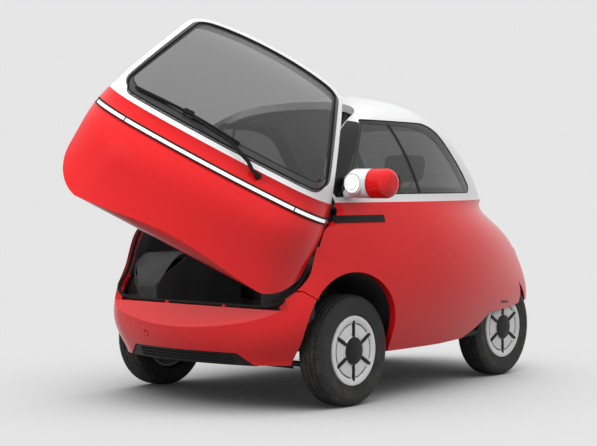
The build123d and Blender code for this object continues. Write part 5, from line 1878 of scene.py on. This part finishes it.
def studio_floor(backdrop):
    """A square floor of 26 m, fine enough for soft shadows."""
    size, steps = 26.0, 40
    points = [(size * (i / steps - 0.5), size * (j / steps - 0.5), 0.0)
              for i in range(steps + 1) for j in range(steps + 1)]
    faces = [(i * (steps + 1) + j, (i + 1) * (steps + 1) + j, (i + 1) * (steps + 1) + j + 1,
              i * (steps + 1) + j + 1) for i in range(steps) for j in range(steps)]
    mesh = bpy.data.meshes.new("studio_floor")
    mesh.from_pydata(points, [], faces)
    mesh.materials.append(floor_material(backdrop))
    floor = bpy.data.objects.new("studio_floor", mesh)
    bpy.context.scene.collection.objects.link(floor)
    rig.stage(floor)


def softbox(name, place, target, size, power):
    """A soft lamp aimed at a target, left out of reflections."""
    data = bpy.data.lights.new(name, "AREA")
    data.shape, data.size, data.size_y = "RECTANGLE", size[0], size[1]
    data.energy = power
    lamp = bpy.data.objects.new(name, data)
    bpy.context.scene.collection.objects.link(lamp)
    lamp.location = Vector(place)
    aim = Vector(target) - Vector(place)
    lamp.rotation_euler = aim.to_track_quat("-Z", "Y").to_euler()
    lamp.visible_glossy = False


def world_light(backdrop):
    """Even light from above, behind a plain backdrop."""
    world = bpy.data.worlds.new("studio")
    bpy.context.scene.world = world
    world.use_nodes = True
    net = Net(world.node_tree)
    back = world.node_tree.nodes["Background"]
    seen = direct_ray(net)
    place = net.node("ShaderNodeTexCoord").outputs["Generated"]
    apart = net.node("ShaderNodeSeparateXYZ")
    net.set(apart.inputs[0], place)
    rise = net.ramp(apart.outputs["Z"], -0.02, 0.7)
    soft = net.blend(rise, (0.11, 0.11, 0.112, 1.0), (0.58, 0.58, 0.585, 1.0))
    shade = net.blend(seen, soft, (backdrop, backdrop, backdrop, 1.0))
    net.set(back.inputs["Color"], shade)
    back.inputs["Strength"].default_value = 1.0


def camera(studio):
    """The studio's camera, from its bearing, height angle and distance."""
    data = bpy.data.cameras.new("studio_camera")
    data.sensor_width, data.lens = 36.0, studio.lens
    thing = bpy.data.objects.new("studio_camera", data)
    bpy.context.scene.collection.objects.link(thing)
    az, el = studio.azimuth, studio.elevation
    back = Vector((math.cos(el) * math.cos(az), math.cos(el) * math.sin(az), math.sin(el)))
    target = Vector((-0.4921, -0.7148, 0.8177))
    thing.location = target + back * studio.distance
    thing.rotation_euler = (-back).to_track_quat("-Z", "Y").to_euler()
    bpy.context.scene.camera = thing


def studio_stage():
    """Floor, backdrop, four softboxes and camera."""
    studio = bpy.context.scene.microcar_studio
    bpy.context.scene.view_settings.view_transform = "Standard"
    studio_floor(studio.backdrop)
    world_light(studio.backdrop)
    key = studio.key_power
    softbox("overhead", (0.6, 0.3, 4.6), (0.2, 0.0, 0.8), (5.0, 4.0), key * 0.50)
    softbox("key", (5.2, 0.6, 3.4), (0.8, 0.0, 0.8), (2.6, 2.2), key)
    softbox("side", (0.8, 5.4, 2.6), (0.0, 0.0, 0.9), (4.2, 1.6), key * 0.52)
    softbox("back", (-4.6, 1.4, 3.0), (-0.6, 0.0, 0.9), (2.6, 2.0), key * 0.3)
    camera(studio)


# ---------------------------------------------------------------- operators

class MICROCAR_OT_dress_nodes(bpy.types.Operator):
    """Give every CAD node the finish of its slot."""
    bl_idname = "microcar.dress_nodes"
    bl_label = "Dress CAD nodes"

    def execute(self, context):
        dress_nodes()
        return {"FINISHED"}


class MICROCAR_OT_windscreen(bpy.types.Operator):
    """Borders, inner line and seal of the windscreen."""
    bl_idname = "microcar.windscreen"
    bl_label = "Windscreen trim"

    def execute(self, context):
        windscreen_trim()
        return {"FINISHED"}


class MICROCAR_OT_side_windows(bpy.types.Operator):
    """Borders, seals and dividers of the side windows."""
    bl_idname = "microcar.side_windows"
    bl_label = "Side window trim"

    def execute(self, context):
        side_window_trim()
        return {"FINISHED"}


class MICROCAR_OT_rear_window(bpy.types.Operator):
    """Border, seal and heater of the rear window."""
    bl_idname = "microcar.rear_window"
    bl_label = "Rear window trim"

    def execute(self, context):
        rear_window_trim()
        return {"FINISHED"}


class MICROCAR_OT_pillars(bpy.types.Operator):
    """Black covers beside the front door."""
    bl_idname = "microcar.pillars"
    bl_label = "Pillar covers"

    def execute(self, context):
        pillar_covers()
        return {"FINISHED"}


class MICROCAR_OT_door_seal(bpy.types.Operator):
    """Rubber seal round the door opening."""
    bl_idname = "microcar.door_seal"
    bl_label = "Door seal"

    def execute(self, context):
        door_seal()
        return {"FINISHED"}


class MICROCAR_OT_wiper(bpy.types.Operator):
    """Arm, blade and rubber of the windscreen wiper."""
    bl_idname = "microcar.wiper"
    bl_label = "Wiper"

    def execute(self, context):
        wiper()
        return {"FINISHED"}


class MICROCAR_OT_wheels(bpy.types.Operator):
    """Tyres, covers, spokes, caps and bolts of four wheels."""
    bl_idname = "microcar.wheels"
    bl_label = "Wheels"

    def execute(self, context):
        wheels()
        return {"FINISHED"}


class MICROCAR_OT_headlamps(bpy.types.Operator):
    """Domes, bezels, rings and rays of the headlamps."""
    bl_idname = "microcar.headlamps"
    bl_label = "Headlamps"

    def execute(self, context):
        headlamps()
        return {"FINISHED"}


class MICROCAR_OT_pods(bpy.types.Operator):
    """Seams and mirrors of the pods."""
    bl_idname = "microcar.pods"
    bl_label = "Lamp pods"

    def execute(self, context):
        pods()
        return {"FINISHED"}


class MICROCAR_OT_grille(bpy.types.Operator):
    """Ribs and bars of the bumper grille."""
    bl_idname = "microcar.grille"
    bl_label = "Grille"

    def execute(self, context):
        grille()
        return {"FINISHED"}


class MICROCAR_OT_ledge(bpy.types.Operator):
    """Door stops and the tow socket's cap."""
    bl_idname = "microcar.ledge"
    bl_label = "Door step details"

    def execute(self, context):
        ledge_details()
        return {"FINISHED"}


class MICROCAR_OT_bar_ends(bpy.types.Operator):
    """Caps at the ends of the door's light strip."""
    bl_idname = "microcar.bar_ends"
    bl_label = "Light strip ends"

    def execute(self, context):
        bar_ends()
        return {"FINISHED"}


class MICROCAR_OT_side_strips(bpy.types.Operator):
    """Fine lines on the side strips."""
    bl_idname = "microcar.side_strips"
    bl_label = "Side strip details"

    def execute(self, context):
        side_strip_details()
        return {"FINISHED"}


class MICROCAR_OT_rear_details(bpy.types.Operator):
    """Rear lamp lines, hatch button, plate holder and reflectors."""
    bl_idname = "microcar.rear_details"
    bl_label = "Rear details"

    def execute(self, context):
        rear_details()
        return {"FINISHED"}


class MICROCAR_OT_seats(bpy.types.Operator):
    """Padded bench, back and headrests."""
    bl_idname = "microcar.seats"
    bl_label = "Seats"

    def execute(self, context):
        seats()
        return {"FINISHED"}


class MICROCAR_OT_steering(bpy.types.Operator):
    """Rim, spokes, shroud, stalks and boot."""
    bl_idname = "microcar.steering"
    bl_label = "Steering"

    def execute(self, context):
        steering()
        return {"FINISHED"}


class MICROCAR_OT_cabin_trim(bpy.types.Operator):
    """Side trim, wheel boxes, arch liners, floor mat and pedals."""
    bl_idname = "microcar.cabin_trim"
    bl_label = "Cabin trim"

    def execute(self, context):
        cabin_trim()
        return {"FINISHED"}


class MICROCAR_OT_door_inside(bpy.types.Operator):
    """Door card, cross bar, display and vents."""
    bl_idname = "microcar.door_inside"
    bl_label = "Door inside"

    def execute(self, context):
        door_inside()
        return {"FINISHED"}


class MICROCAR_OT_underbody(bpy.types.Operator):
    """Springs, dampers and brake discs."""
    bl_idname = "microcar.underbody"
    bl_label = "Underbody"

    def execute(self, context):
        underbody()
        return {"FINISHED"}


class MICROCAR_OT_stage(bpy.types.Operator):
    """Floor, lights, backdrop and camera."""
    bl_idname = "microcar.stage"
    bl_label = "Studio"

    def execute(self, context):
        studio_stage()
        return {"FINISHED"}


STEPS = (
    MICROCAR_OT_dress_nodes,
    MICROCAR_OT_windscreen,
    MICROCAR_OT_side_windows,
    MICROCAR_OT_rear_window,
    MICROCAR_OT_pillars,
    MICROCAR_OT_door_seal,
    MICROCAR_OT_wiper,
    MICROCAR_OT_wheels,
    MICROCAR_OT_headlamps,
    MICROCAR_OT_pods,
    MICROCAR_OT_grille,
    MICROCAR_OT_ledge,
    MICROCAR_OT_bar_ends,
    MICROCAR_OT_side_strips,
    MICROCAR_OT_rear_details,
    MICROCAR_OT_seats,
    MICROCAR_OT_steering,
    MICROCAR_OT_cabin_trim,
    MICROCAR_OT_door_inside,
    MICROCAR_OT_underbody,
    MICROCAR_OT_stage,
)


class MICROCAR_PT_pieces(bpy.types.Panel):
    """Lists the microcar's operators and settings."""
    bl_idname = "MICROCAR_PT_pieces"
    bl_label = "Bubble microcar"
    bl_space_type = "VIEW_3D"
    bl_region_type = "UI"
    bl_category = "Microcar"

    def draw(self, context):
        for step in STEPS:
            self.layout.operator(step.bl_idname)
        for key, group in SETTINGS.items():
            box = self.layout.box()
            for name in group.__annotations__:
                box.prop(getattr(context.scene, key), name)


def register():
    for group in SETTINGS.values():
        bpy.utils.register_class(group)
    for key, group in SETTINGS.items():
        setattr(bpy.types.Scene, key, bpy.props.PointerProperty(type=group))
    for step in STEPS:
        bpy.utils.register_class(step)
    bpy.utils.register_class(MICROCAR_PT_pieces)


def unregister():
    bpy.utils.unregister_class(MICROCAR_PT_pieces)
    for step in reversed(STEPS):
        bpy.utils.unregister_class(step)
    for key, group in SETTINGS.items():
        delattr(bpy.types.Scene, key)
        bpy.utils.unregister_class(group)


def main():
    register()
    for step in STEPS:
        getattr(bpy.ops.microcar, step.bl_idname.split(".")[1])()
    numbers = lambda box: [[round(c, 6) for c in corner] for corner in box]
    with open("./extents.json", "w") as out:
        json.dump({"cad": numbers(CAD_BOX), "visual": numbers(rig.bounds())}, out)


if __name__ == "__main__":
    main()
